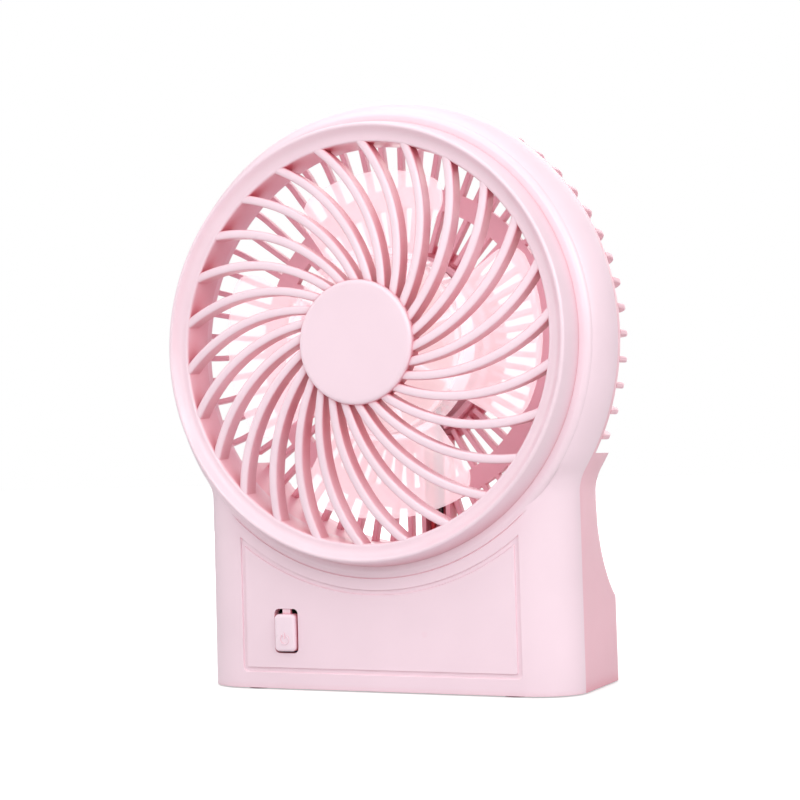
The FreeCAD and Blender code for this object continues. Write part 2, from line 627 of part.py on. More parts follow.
keep("rear_grille", rear_grille())
keep("motor_mount", motor_mount())
keep("rear_cover", rear_cover())


# ---------------------------------------------------------------- front grille

def grille_ribs():
    """The swirled ribs: each is a slice of a big ring, trimmed in front and behind to a shallow dome."""
    body = new_body("grilleRibs")
    sketch = new_sketch(body, "ribOutline", "XY_Plane", "skirt_back")
    begin, finish = value("grille_hub - 1"), value("opening_radius + 0.7")
    radius, half = value("rib_arc"), value("rib_half")
    # The rib's arc passes through the hub's edge and the opening's edge, a rib's swirl further round.
    first = math.radians(value("rib_first"))
    swirl = math.radians(43.5)
    near = Vector(begin * math.cos(first), begin * math.sin(first), 0)
    far = Vector(finish * math.cos(first + swirl), finish * math.sin(first + swirl), 0)
    chord = far - near
    across = Vector(chord.y, -chord.x, 0).normalize()
    centre = (near + far) / 2 + across * -math.sqrt(radius ** 2 - chord.Length ** 2 / 4)
    near_angle = math.atan2(near.y - centre.y, near.x - centre.x)
    far_angle = math.atan2(far.y - centre.y, far.x - centre.x)
    if far_angle < near_angle:
        far_angle += 2 * math.pi
    up = Vector(0, 0, 1)
    arcs = [Part.ArcOfCircle(Part.Circle(centre, up, radius + side), near_angle, far_angle)
            for side in (half, -half)]
    outer, inner = (sketch.addGeometry(arc, False) for arc in arcs)
    tip = sketch.addGeometry(Part.LineSegment(arcs[0].EndPoint, arcs[1].EndPoint), False)
    root = sketch.addGeometry(Part.LineSegment(arcs[1].StartPoint, arcs[0].StartPoint), False)
    for rule in (("Coincident", outer, 2, tip, 1), ("Coincident", tip, 2, inner, 2),
                 ("Coincident", inner, 1, root, 1), ("Coincident", root, 2, outer, 1),
                 ("Coincident", outer, 3, inner, 3)):
        sketch.addConstraint(Sketcher.Constraint(*rule))
    for arc, text in ((outer, "rib_arc + rib_half"), (inner, "rib_arc - rib_half")):
        index = sketch.addConstraint(Sketcher.Constraint("Radius", arc, value(text)))
        sketch.setExpression(f"Constraints[{index}]", formula(text))
    rib = pad(body, "rib", sketch, "cap_front - skirt_back + 1")
    around(body, "ribPattern", rib, "rib_count")
    high = "cap_front + 2"
    turn(body, "ribCrown", [("0", "cap_back"), ("cap_radius + 0.1", "cap_back"), ("cap_radius + 0.1", "rib_crown"),
                            ("opening_radius", "opening_face"), ("bezel_ridge", "opening_face"),
                            ("bezel_ridge", high), ("0", high)], cut=True)
    turn(body, "ribUnderside", [("0", "skirt_back - 1"), ("bezel_ridge", "skirt_back - 1"),
                                ("bezel_ridge", "opening_face - rib_depth"),
                                ("opening_radius", "opening_face - rib_depth"),
                                ("grille_hub", "hub_back"), ("0", "hub_back")], cut=True)
    return body


def grille_rings():
    """The hub's seat for the cap, and the grooved bezel with the skirt that plugs into the duct."""
    body = new_body("grilleRings")
    turn(body, "hubSeat", [("0", "hub_back"), ("grille_hub", "hub_back"), ("grille_hub", "cap_back"),
                           ("0", "cap_back")])
    turn(body, "bezel", [("opening_radius", "skirt_back"), ("skirt_radius", "skirt_back"),
                         ("skirt_radius", "seat_face"), ("bezel_foot", "seat_face"),
                         ("bezel_ridge + 0.4", "bezel_face - 0.6"), ("bezel_ridge", "bezel_face"),
                         ("bezel_ridge - 0.6", "bezel_face - 0.1"), ("bezel_ridge - 1.6", "opening_face + 0.5"),
                         ("opening_radius + 1", "opening_face"), ("opening_radius + 0.4", "opening_face"),
                         ("opening_radius", "opening_face - 0.4")])
    return body


keep("front_grille", join("frontGrille", [grille_ribs(), grille_rings()]))

cap = new_body("cap")
turn(cap, "capDisc", [("0", "cap_back"), ("cap_radius", "cap_back"), ("cap_radius", "cap_front - 0.8"),
                      ("cap_radius - 0.3", "cap_front - 0.25"), ("cap_radius - 0.9", "cap_front"),
                      ("0", "cap_front")])
keep("grille_cap", cap)


# ---------------------------------------------------------------- rotor

def blade(number):
    """One blade: a helical sheet lofted through radial sections, with rounded tip corners."""
    span = math.radians(value("blade_span"))
    lead = math.radians(value("blade_lead")) + number * 2 * math.pi / value("blade_count")
    inner, outer = value("cup_radius - 0.4"), value("blade_tip")
    thick = value("blade_thick")
    steps = 8
    sections = []
    for step in range(steps + 1):
        turned = lead - span * step / steps
        depth = value("blade_back") + (value("blade_front - blade_back") - thick) * step / steps
        corners = [Vector(reach * math.cos(turned), reach * math.sin(turned), depth + rise)
                   for reach, rise in ((inner, 0), (outer, 0), (outer, thick), (inner, thick))]
        sections.append(Part.makePolygon(corners + corners[:1]))
    sheet = Part.makeLoft(sections, True, False)
    rounding = value("blade_round")
    start, finish = lead - span - 0.05, lead + 0.05
    plan = Part.Wire([
        Part.LineSegment(Vector(), outer * Vector(math.cos(start), math.sin(start), 0)).toShape(),
        Part.Arc(outer * Vector(math.cos(start), math.sin(start), 0),
                 outer * Vector(math.cos((start + finish) / 2), math.sin((start + finish) / 2), 0),
                 outer * Vector(math.cos(finish), math.sin(finish), 0)).toShape(),
        Part.LineSegment(outer * Vector(math.cos(finish), math.sin(finish), 0), Vector()).toShape(),
    ])
    prism = Part.Face(plan).extrude(Vector(0, 0, value("face")))
    tip_edges = [edge for edge in prism.Edges
                 if type(edge.Curve).__name__ == "Line" and abs(edge.tangentAt(edge.FirstParameter).z) > 0.9
                 and math.hypot(edge.Vertexes[0].X, edge.Vertexes[0].Y) > inner]
    return sheet.common(prism.makeFillet(rounding, tip_edges))


def fan_rotor():
    """The hub cup, open in front, with its boss, web and blades as one moulding."""
    body = new_body("rotorHub")
    turn(body, "rotorCup", [
        ("shaft_radius", "boss_back"), ("boss_radius", "boss_back"), ("boss_radius", "web_back"),
        ("cup_inner", "web_back"), ("cup_inner", "rotor_skirt"), ("cup_radius", "rotor_skirt"),
        ("cup_radius", "rotor_rim"), ("cup_inner", "rotor_rim"), ("cup_inner", "web_front"),
        ("boss_radius", "web_front"), ("boss_radius", "boss_front"), ("shaft_radius", "boss_front"),
    ])
    pieces = [body]
    for number in range(SIZES["blade_count"]):
        feature = doc.addObject("Part::Feature", f"blade{number}")
        feature.Shape = blade(number)
        pieces.append(feature)
    return join("rotorWhole", pieces)


keep("fan_rotor", fan_rotor())
keep("motor_shaft", rod("shaft", "shaft_radius", "shaft_front + shaft_back", ("0", "0", "- shaft_back")))
keep("thrust_washer", ring_of("thrustWasher", "bush_radius - 0.4", "shaft_radius", "bush_front + 0.05", "boss_back"))


# ---------------------------------------------------------------- motor

POLES = 3
POLE_TURNS = [Rotation(Vector(0, 0, 1), 90 + 360 * number / POLES) for number in range(POLES)]


def on_poles(name, make):
    """One piece for each pole of the armature, turned about the shaft."""
    pieces = []
    for number, turned in enumerate(POLE_TURNS):
        holder = group(f"{name}Pole{number}", [make(f"{name}{number}")])
        holder.Placement = Placement(Vector(), turned)
        pieces.append(holder)
    return pieces


def armature_core():
    """The laminated core: a ring on the shaft with three T-shaped poles."""
    length = "core_front + core_back"
    hub = ring_of("coreHub", "bush_radius", "shaft_radius", "- core_back", "core_front")
    arms = on_poles("coreArm", lambda name: block(name, ("core_radius - bush_radius", "2", length),
                                                  ("bush_radius - 0.5", "- 1", "- core_back")))
    rim = ring_of("coreRim", "core_radius", "core_radius - 1.4", "- core_back", "core_front")
    gaps = on_poles("coreGap", lambda name: block(name, ("core_radius + 1", "3", f"{length} + 2"),
                                                  ("- core_radius - 1", "- 1.5", "- core_back - 1")))
    return join("coreWhole", [hub, carve("coreShoes", rim, gaps)] + arms)


def armature_windings():
    """A coil of wire on each pole."""
    def coil(name):
        wound = block(name + "Coil", ("2.6", "4.4", "core_front + core_back + 1.8"),
                      ("3.9", "- 2.2", "- core_back - 0.6"))
        return carve(name, wound, [block(name + "Arm", ("4", "2", "core_front + core_back"),
                                         ("3", "- 1", "- core_back"))])
    return group("windings", on_poles("winding", coil))


def arc_magnet(name, side):
    """Half of the magnet pair, which lines the can."""
    ring = ring_of(name + "Ring", "motor_radius - can_wall", "core_radius + 0.6", "- cup_front", "core_front + 1.4")
    half = block(name + "Reach", ("motor_radius", "8.4 + 8.4", "face + face"),
                 ("3" if side > 0 else "- motor_radius - 3", "- 8.4", "- face"))
    return shared(name, [ring, half])


can = new_body("can")
turn(can, "canCup", [
    ("motor_radius - can_wall", "- can_back"), ("motor_radius", "- can_back"), ("motor_radius", "can_front"),
    ("bush_radius", "can_front"), ("bush_radius", "can_front - can_wall"),
    ("motor_radius - can_wall", "can_front - can_wall"),
])
keep("motor_can", can)

end_cap = new_body("endCap")
turn(end_cap, "endCapDisc", [
    ("bush_radius", "- end_cap_back"), ("motor_radius", "- end_cap_back"), ("motor_radius", "- can_back"),
    ("motor_radius - can_wall", "- can_back"), ("motor_radius - can_wall", "- can_back + 0.6"),
    ("bush_radius", "- can_back + 0.6"),
])
keep("motor_end_cap", end_cap)

bush_bore = "shaft_radius + bush_play"
keep("motor_front_bush", ring_of("frontBush", "bush_radius", bush_bore, "bush_front - bush_length", "bush_front"))
keep("motor_rear_bush", ring_of("rearBush", "bush_radius", bush_bore, "- end_cap_back",
                                "- end_cap_back + bush_length"))
keep("motor_magnets", group("magnets", [arc_magnet("magnetRight", 1), arc_magnet("magnetLeft", -1)]))
keep("armature_core", armature_core())
keep("armature_windings", armature_windings())
keep("commutator", ring_of("segments", "2.4", "shaft_radius", "- cup_front - 0.4", "- core_back - 0.4"))
keep("motor_brushes", group("brushes", [
    block("brushLeft", ("0.5", "1.6", "1"), ("- 2.93", "- 0.8", "- cup_front")),
    block("brushRight", ("0.5", "1.6", "1"), ("2.43", "- 0.8", "- cup_front")),
    block("springLeft", ("6", "0.2", "1"), ("- 8.93", "0.8", "- cup_front")),
    block("springRight", ("6", "0.2", "1"), ("2.93", "0.8", "- cup_front")),
]))


def terminal(name, x):
    """A solder tab that stands out below the end cap, behind its lead."""
    return carve(name, block(name + "Strip", ("1.4", "5.5", "0.4"), (f"{x} - 0.7", "- 14.6", "- lead_back - 0.95")),
                 [rod(name + "Clear", "motor_radius", "2", ("0", "0", "- lead_back - 1.5"))])


keep("motor_terminals", group("terminals", [terminal("redTab", "red_x"), terminal("blackTab", "black_x")]))


def retainer_screw(name, sign):
    """A countersunk screw that holds the motor's plate on its post."""
    x = sign + "retainer_screw_x"
    head = doc.addObject("Part::Cone", name + "Head")
    bind(head, Radius1="small_shank", Radius2="screw_head", Height="screw_head - small_shank")
    place(head, x, "0", less("retainer_front", "screw_head - small_shank"))
    shank = rod(name + "Shank", "small_shank", "retainer_front + 1", (x, "0", "- 1"))
    return join(name, [head, shank])


retainer_screws = group("retainerScrews", [retainer_screw("leftScrew", "- "), retainer_screw("rightScrew", "")])
keep("motor_retainer", carve("retainer", ring_of("retainerRing", "retainer_radius", "retainer_hole", "can_front",
                                                 "retainer_front"),
                             [retainer_screw("leftSink", "- "), retainer_screw("rightSink", "")]))
keep("motor_retainer_screws", retainer_screws)


# ---------------------------------------------------------------- push button and indicator

def power_button():
    """A paddle with a raised round mark, hung from the panel by a narrow tongue."""
    body = new_body("paddle")
    sketch = new_sketch(body, "paddleOutline", "XY_Plane", "paddle_back")
    low, high = "paddle_low - hub_height", "paddle_high - hub_height"
    left, right = "- button_x - paddle_half", "- button_x + paddle_half"
    draw_polygon(sketch, [(left, low), (right, low), (right, high), (left, high)])
    pad(body, "paddlePad", sketch, "paddle_front - paddle_back")
    doc.recompute()
    fillet = doc.addObject("Part::Fillet", "paddleRounded")
    fillet.Base = body
    corners = [number for number, edge in enumerate(body.Shape.Edges, start=1)
               if abs(edge.tangentAt(edge.FirstParameter).z) > 0.9]
    fillet.Edges = [(number, value("paddle_round"), value("paddle_round")) for number in corners]
    tongue = block("tongue", ("tongue_half + tongue_half", "slot_high - paddle_high - tongue_gap + 0.5",
                              "tongue_front - tongue_back"),
                   ("- button_x - tongue_half", "paddle_high - hub_height - 0.5", "tongue_back"))
    mark = rod("buttonMark", "mark_radius", "mark_proud + 0.5",
               ("- button_x", "mark_height - hub_height", "paddle_front - 0.5"))
    return join("buttonWhole", [fillet, tongue, mark])


keep("power_button", power_button())

SWITCH = ("- button_x", "switch_height - hub_height")
switch_case = block("switchCase", ("switch_size", "switch_size", "switch_front - board_front"),
                    ("- button_x - 3", f"{SWITCH[1]} - 3", "board_front"))
keep("tact_switch_body", carve("switchBored", switch_case, [
    rod("plungerRoom", "plunger_radius + lamp_play + lamp_play", "switch_front",
        (*SWITCH, "switch_front - plunger_room")),
]))
keep("switch_plunger", rod("plunger", "plunger_radius", "plunger_front - switch_front + plunger_sunk",
                           (*SWITCH, "switch_front - plunger_sunk")))
LAMP = ("lamp_x", "lamp_height - hub_height")
keep("indicator_led", block("ledCase", ("1.6", "0.8", "0.6"), ("lamp_x - 0.8", f"{LAMP[1]} - 0.4", "board_front")))
keep("light_pipe", join("lightPipe", [
    rod("pipeRod", "lamp_radius", "face - board_front - 0.8", (*LAMP, "board_front + 0.8")),
    rod("pipeCollar", "lamp_radius + lamp_radius", "0.6", (*LAMP, "face - wall - 0.6")),
]))


# ---------------------------------------------------------------- circuit board

BOARD_SCREW_SPOTS = [(x, "board_screw_height - hub_height") for x in ("- board_screw_left", "board_screw_right")]


def board_screw(name, spot):
    """A small pan-head screw from behind the board into its post."""
    head = rod(name + "Head", "small_head", "board_back - small_head_back", (*spot, "small_head_back"))
    shank = rod(name + "Shank", "small_shank", "small_tip - small_head_back", (*spot, "small_head_back"))
    return join(name, [head, shank])


board = block("boardPlate", ("board_left + board_right", "board_high - board_low", "board_front - board_back"),
              ("- board_left", "board_low - hub_height", "board_back"))
board_holes = [rod(f"boardHole{number}", "small_shank + lamp_play", "face", (*spot, "0"))
               for number, spot in enumerate(BOARD_SCREW_SPOTS)]
keep("circuit_board", carve("boardDrilled", board, board_holes))
keep("board_screws", group("boardScrews", [board_screw(f"boardScrew{number}", spot)
                                           for number, spot in enumerate(BOARD_SCREW_SPOTS)]))

shell = stadium("socketSkin", "- 0", "- socket_mouth", "socket_depth")
room = stadium("socketRoom", "- socket_skin", "- socket_mouth - 1", "socket_depth + 0.7")
contact = block("socketContact", ("socket_depth - 1.5", "5.4", "0.7"),
                ("- socket_mouth + 0.8", "socket_height - hub_height - 2.7", "board_back - socket_round - 0.35"))
keep("charging_socket", join("socket", [carve("socketHollow", shell, [room]), contact]))

keep("control_chip", block("chipCase", ("5", "4", "1"), ("- 24", "12 - hub_height", "board_back - 1")))
keep("inductor", block("inductorCase", ("5", "5", "2.2"), ("- 14", "12 - hub_height", "board_back - 2.2")))


# ---------------------------------------------------------------- battery

CELL = ("cell_height - hub_height", "- cell_back")
cell = rod("cell", "cell_radius", "cell_half + cell_half", ("- cell_half", *CELL), "right")
keep("battery_cell", cell)
keep("battery_sleeve", carve("sleeve", rod("sleeveOuter", "sleeve_radius", "cell_half + cell_half - 1",
                                           ("- cell_half + 0.5", *CELL), "right"),
                             [rod("sleeveInner", "cell_radius", "cell_half + cell_half + 2",
                                  ("- cell_half - 1", *CELL), "right")]))
keep("battery_tabs", group("tabs", [
    block("tabLeft", ("tab_thick", "tab_half + tab_half", "12"),
          ("- cell_half - tab_thick", f"{CELL[0]} - tab_half", "- cell_back - 4")),
    block("tabRight", ("tab_thick", "tab_half + tab_half", "12"),
          ("cell_half", f"{CELL[0]} - tab_half", "- cell_back - 4")),
]))
keep("battery_pad", block("foam", ("pad_half + pad_half", "6", "1"),
                          ("- pad_half + 10", f"{CELL[0]} - 3", "- cell_back + sleeve_radius")))


# ---------------------------------------------------------------- leads, screws and feet

def quarter_turn(name, middle, rotation):
    """A quarter of a ring, which turns a lead through a right angle."""
    ring = doc.addObject("Part::Torus", name)
    bind(ring, Radius1="lead_bend", Radius2="lead_radius")
    ring.Angle3 = 90
    return place(ring, *middle, rotation=rotation)


def motor_lead(name, x):
    """A lead down the channel from the motor, then forward to the board through a quarter turn."""
    low = "lead_low - hub_height"
    drop = rod(name + "Drop", "lead_radius", "lead_top - lead_low - lead_bend",
               (x, f"{low} + lead_bend", "- lead_back"), "up")
    corner = quarter_turn(name + "Corner", (x, f"{low} + lead_bend", "- lead_back + lead_bend"),
                          Rotation(Vector(0, 0, -1), Vector(0, -1, 0), Vector(-1, 0, 0)))
    run = rod(name + "Run", "lead_radius", "board_back + lead_back - lead_bend",
              (x, low, "- lead_back + lead_bend"))
    return join(name, [drop, corner, run])


keep("motor_lead_red", motor_lead("redLead", "red_x"))
keep("motor_lead_black", motor_lead("blackLead", "black_x"))


def battery_leads():
    """One lead straight forward to the board's left end, and one that turns along the board's back."""
    height = f"{CELL[0]} - 1.5"
    beside = "cell_half + tab_thick + lead_radius"
    reach = "board_back - lead_radius"
    left = rod("leftLead", "lead_radius", "board_back + 4", (f"- {beside.replace('+', '-')}", height, "- 4"))
    forward = rod("rightLeadForward", "lead_radius", f"{reach} - lead_bend + 4", (beside, height, "- 4"))
    corner = quarter_turn("rightLeadCorner", (f"{beside} - lead_bend", height, f"{reach} - lead_bend"),
                          Rotation(Vector(1, 0, 0), 90))
    along = rod("rightLeadAlong", "lead_radius", f"{beside} - lead_bend - board_right + 2",
                ("board_right - 2", height, reach), "right")
    return group("batteryLeads", [left, join("rightLead", [forward, corner, along])])


keep("battery_leads", battery_leads())


def case_screw(name, x, height):
    """A self-tapping screw from behind, whose head sits at the bottom of a deep hole."""
    spot = (x, f"{height} - hub_height")
    head = rod(name + "Head", "screw_head", "screw_top - screw_seat", (*spot, "- screw_top"))
    shank = rod(name + "Shank", "screw_shank", "screw_tip + screw_top", (*spot, "- screw_top"))
    cross = [block(name + "SlotAcross", ("2", "0.5", "0.7"), (f"{x} - 1", f"{spot[1]} - 0.25", "- screw_top")),
             block(name + "SlotUp", ("0.5", "2", "0.7"), (f"{x} - 0.25", f"{spot[1]} - 1", "- screw_top"))]
    return carve(name, join(name + "Blank", [head, shank]), cross)


keep("case_screws", group("caseScrews", [case_screw(f"caseScrew{number}", x, height)
                                         for number, (x, height) in enumerate(SCREW_SPOTS)]))
keep("rubber_feet", group("feet", [rod(f"foot{number}", "foot_radius", "foot_thick", (x, "- hub_height", z), "up")
                                   for number, (x, z) in enumerate(FOOT_SPOTS)]))


# ---------------------------------------------------------------- check and write

doc.recompute()
failed = [thing.Label for thing in doc.Objects if any(mark in thing.State for mark in ("Invalid", "Error"))]
failed += [name for name, thing in nodes.items() if thing.Shape.isNull() or not thing.Shape.isValid()]
if failed:
    raise RuntimeError("these failed: " + ", ".join(failed))
os.makedirs("parts", exist_ok=True)
for name, thing in nodes.items():
    thing.Shape.exportStep(f"parts/{name}.step")
    box = thing.Shape.optimalBoundingBox()
    print(f"{name}: {thing.Shape.Volume:.1f} mm3, {len(thing.Shape.Solids)} solid(s), "
          f"X {box.XMin:.2f} {box.XMax:.2f}, Y {box.YMin:.2f} {box.YMax:.2f}, Z {box.ZMin:.2f} {box.ZMax:.2f}")
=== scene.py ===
import bisect
import json
import math
import bmesh
import bpy
from mathutils import Matrix, Vector


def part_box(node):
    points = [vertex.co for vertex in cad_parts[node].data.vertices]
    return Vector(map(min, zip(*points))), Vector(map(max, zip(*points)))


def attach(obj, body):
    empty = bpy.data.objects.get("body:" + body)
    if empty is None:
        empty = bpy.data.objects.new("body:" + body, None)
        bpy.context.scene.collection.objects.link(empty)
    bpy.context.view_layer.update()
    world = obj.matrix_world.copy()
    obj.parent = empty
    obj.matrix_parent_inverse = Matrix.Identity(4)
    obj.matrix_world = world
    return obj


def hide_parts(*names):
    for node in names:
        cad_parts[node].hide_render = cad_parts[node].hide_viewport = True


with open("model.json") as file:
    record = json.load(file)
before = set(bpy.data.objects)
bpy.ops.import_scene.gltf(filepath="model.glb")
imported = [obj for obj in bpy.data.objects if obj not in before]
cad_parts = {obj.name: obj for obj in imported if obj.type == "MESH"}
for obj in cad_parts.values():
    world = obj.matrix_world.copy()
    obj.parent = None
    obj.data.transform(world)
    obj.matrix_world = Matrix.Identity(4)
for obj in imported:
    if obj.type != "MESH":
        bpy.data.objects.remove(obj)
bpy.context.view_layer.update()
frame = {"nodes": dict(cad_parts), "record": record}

MM = 0.001
hub_low, hub_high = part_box("grille_cap")
HUB = Vector(((hub_low.x + hub_high.x) / 2, 0, (hub_low.z + hub_high.z) / 2))
HUB_HEIGHT = HUB.z / MM
# Pieces are drawn in millimetres about the fan's axis: x to the right, y up and z forward.
DRAWN_TO_ROW = Matrix(((MM, 0, 0, HUB.x), (0, 0, -MM, HUB.y), (0, MM, 0, HUB.z), (0, 0, 0, 1)))


def above_floor(height):
    """The drawn y of a height above the floor."""
    return height - HUB_HEIGHT


# The head's radius, half the pedestal's width, and the radius of the hollow between the two.
HEAD, LEG, NECK = 52.5, 43.3, 10.0
# How far forward the front face and the seam between the shells are, and how far back the pedestal reaches.
FACE, SEAM, REAR = 13.2, 5.3, 20.0
WALL = 2.0
FEET_PROUD = 0.3
BASE = above_floor(FEET_PROUD)
# The air duct's radius inside and outside, and the radius of the opening in front of it.
DUCT, DUCT_OUTER, OPENING = 43.5, 45.0, 42.0
# How near counts as touching.
NEAR = 0.01


# ---------------------------------------------------------------- camera

AZIMUTH, ELEVATION, ROLL = math.radians(25.23), math.radians(-1.98), math.radians(-1.65)
DISTANCE = 361.5 * MM
LENS, SENSOR = 77.94, 36.0
# The camera aims at the grille's front, to the right of the hub and below it.
ASIDE, AHEAD, UNDER = 8.17, 17.5, 12.27
AIM = HUB + Vector((ASIDE * math.cos(AZIMUTH), ASIDE * math.sin(AZIMUTH) - AHEAD, -UNDER)) * MM


def make_camera():
    back = Vector((math.sin(AZIMUTH) * math.cos(ELEVATION), -math.cos(AZIMUTH) * math.cos(ELEVATION),
                   math.sin(ELEVATION)))
    forward = -back
    right = forward.cross(Vector((0, 0, 1))).normalized()
    up = right.cross(forward)
    right, up = (right * math.cos(ROLL) + up * math.sin(ROLL), up * math.cos(ROLL) - right * math.sin(ROLL))
    data = bpy.data.cameras.new("camera")
    data.lens = LENS
    data.sensor_width = SENSOR
    camera = bpy.data.objects.new("camera", data)
    turn = Matrix((right, up, back)).transposed().to_4x4()
    camera.matrix_world = Matrix.Translation(AIM + back * DISTANCE) @ turn
    bpy.context.scene.collection.objects.link(camera)
    bpy.context.scene.camera = camera


make_camera()


# ---------------------------------------------------------------- mesh tools

def swing(radius, turn, z=0.0):
    return (radius * math.cos(turn), radius * math.sin(turn), z)


def circle(radius, z, count, middle=(0, 0)):
    return [(middle[0] + radius * math.cos(2 * math.pi * step / count),
             middle[1] + radius * math.sin(2 * math.pi * step / count), z) for step in range(count)]


def rounded_section(middle_x, middle_y, half_x, half_y, corner, steps=6):
    """A rectangle's outline with rounded corners."""
    points = []
    for number, (side_x, side_y) in enumerate(((1, 1), (-1, 1), (-1, -1), (1, -1))):
        for step in range(steps + 1):
            turn = math.pi / 2 * (number + step / steps)
            points.append((middle_x + side_x * (half_x - corner) + corner * math.cos(turn),
                           middle_y + side_y * (half_y - corner) + corner * math.sin(turn)))
    return points


class Sketch:
    """Points and faces gathered for one mesh, in drawn millimetres."""

    def __init__(self):
        self.points, self.faces = [], []

    def skin(self, rings, joined):
        """Faces from each closed ring to the next, and from the last to the first if joined."""
        start, count = len(self.points), len(rings[0])
        for ring in rings:
            self.points += [tuple(point) for point in ring]
        for row in range(len(rings) if joined else len(rings) - 1):
            here, there = start + row * count, start + (row + 1) % len(rings) * count
            for step in range(count):
                after = (step + 1) % count
                self.faces.append((here + step, here + after, there + after, there + step))
        return start, count

    def loft(self, rings):
        """A solid through closed rings of as many points each, with flat ends."""
        start, count = self.skin(rings, joined=False)
        last = start + (len(rings) - 1) * count
        self.faces.append(tuple(reversed(range(start, start + count))))
        self.faces.append(tuple(range(last, last + count)))
        return self

    def torus(self, rings):
        """A solid through closed rings that joins up again with the first ring."""
        self.skin(rings, joined=True)
        return self

    def revolve(self, profile, count=192):
        """A closed (radius, z) outline turned about the fan's axis."""
        return self.torus([[swing(radius, 2 * math.pi * step / count, z) for radius, z in profile]
                           for step in range(count)])

    def disc(self, profile, count=96, middle=(0, 0)):
        """An open (radius, z) outline from the bottom's rim to the top's rim, turned into a closed solid."""
        return self.loft([circle(radius, z, count, middle) for radius, z in profile])

    def prism(self, section, z_low, z_high):
        """A flat outline carried from one depth to another."""
        return self.loft([[(x, y, z) for x, y in section] for z in (z_low, z_high)])

    def block(self, low, high):
        """A box between two opposite corners."""
        left, under, back = low
        right, over, front = high
        return self.prism([(left, under), (right, under), (right, over), (left, over)], back, front)

    def made(self, name):
        mesh = bpy.data.meshes.new(name)
        mesh.from_pydata(self.points, [], self.faces)
        working = bmesh.new()
        working.from_mesh(mesh)
        bmesh.ops.recalc_face_normals(working, faces=working.faces)
        working.to_mesh(mesh)
        working.free()
        piece = bpy.data.objects.new(name, mesh)
        bpy.context.scene.collection.objects.link(piece)
        return piece


def settle(piece):
    """Applies the piece's modifiers to its mesh."""
    bpy.context.view_layer.update()
    mesh = bpy.data.meshes.new_from_object(piece.evaluated_get(bpy.context.evaluated_depsgraph_get()))
    piece.modifiers.clear()
    old, piece.data = piece.data, mesh
    bpy.data.meshes.remove(old)


def combine(piece, operation, tool):
    """Cuts the tool's solid from the piece, or joins it to the piece."""
    modifier = piece.modifiers.new("combine", "BOOLEAN")
    modifier.operation = operation
    modifier.solver = "EXACT"
    modifier.object = tool
    settle(piece)
    bpy.data.objects.remove(tool, do_unlink=True)


# How far an edge's two faces turn, in radians, for it to be sharp.
CORNER = 1.0


def bevel_where(piece, width, segments, test):
    """Rounds the sharp edges whose two ends pass a test."""
    working = bmesh.new()
    working.from_mesh(piece.data)
    edges = [edge for edge in working.edges if len(edge.link_faces) == 2
             and edge.calc_face_angle(0) > CORNER and test(edge.verts[0].co, edge.verts[1].co)]
    bmesh.ops.bevel(working, geom=edges, offset=width, segments=segments, profile=0.5, affect="EDGES",
                    clamp_overlap=True)
    working.to_mesh(piece.data)
    working.free()


# How near two points are to be one, and how short an edge is to go, in metres.
WELD, SLIVER = 1e-6, 1e-7


def finish_piece(piece, material, body, slot, *nodes, angle=32):
    """Puts a drawn piece in the row frame, shades it smooth up to an angle, gives it its material, sets it on
    its body's empty and hides the CAD nodes it stands for.
    """
    piece.data.transform(DRAWN_TO_ROW)
    working = bmesh.new()
    working.from_mesh(piece.data)
    bmesh.ops.remove_doubles(working, verts=working.verts, dist=WELD)
    bmesh.ops.dissolve_degenerate(working, edges=working.edges, dist=SLIVER)
    for face in working.faces:
        face.smooth = True
    for edge in working.edges:
        edge.smooth = len(edge.link_faces) == 2 and edge.calc_face_angle(0) < math.radians(angle)
    working.to_mesh(piece.data)
    working.free()
    weighted = piece.modifiers.new("weighted", "WEIGHTED_NORMAL")
    weighted.keep_sharp = True
    weighted.weight = 80
    piece.data.materials.clear()
    piece.data.materials.append(material)
    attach(piece, body)
    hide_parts(*nodes)
    return piece


# ---------------------------------------------------------------- materials

# How fine the noises are that move the colour, the gloss and the surface.
DRIFT_SCALE, GLOSS_SCALE, GRAIN_SCALE = 28.0, 160.0, 5200.0
GRAIN_HEIGHT, STREAK_HEIGHT = 0.05 * MM, 0.02 * MM
COAT_ROUGHNESS = 0.12


def start_material(name):
    material = bpy.data.materials.new(name)
    material.use_nodes = True
    tree = material.node_tree
    return material, tree.nodes, tree.links, tree.nodes["Principled BSDF"]


def set_all(node, **values):
    """Sets a node's or shader's inputs; From_Min stands for the input From Min."""
    for name, value in values.items():
        node.inputs[name.replace("_", " ")].default_value = value


def add_bump(nodes, links, shader, source, strength, height):
    bump = nodes.new("ShaderNodeBump")
    set_all(bump, Strength=strength, Distance=height)
    links.new(source, bump.inputs["Height"])
    links.new(bump.outputs["Normal"], shader.inputs["Normal"])


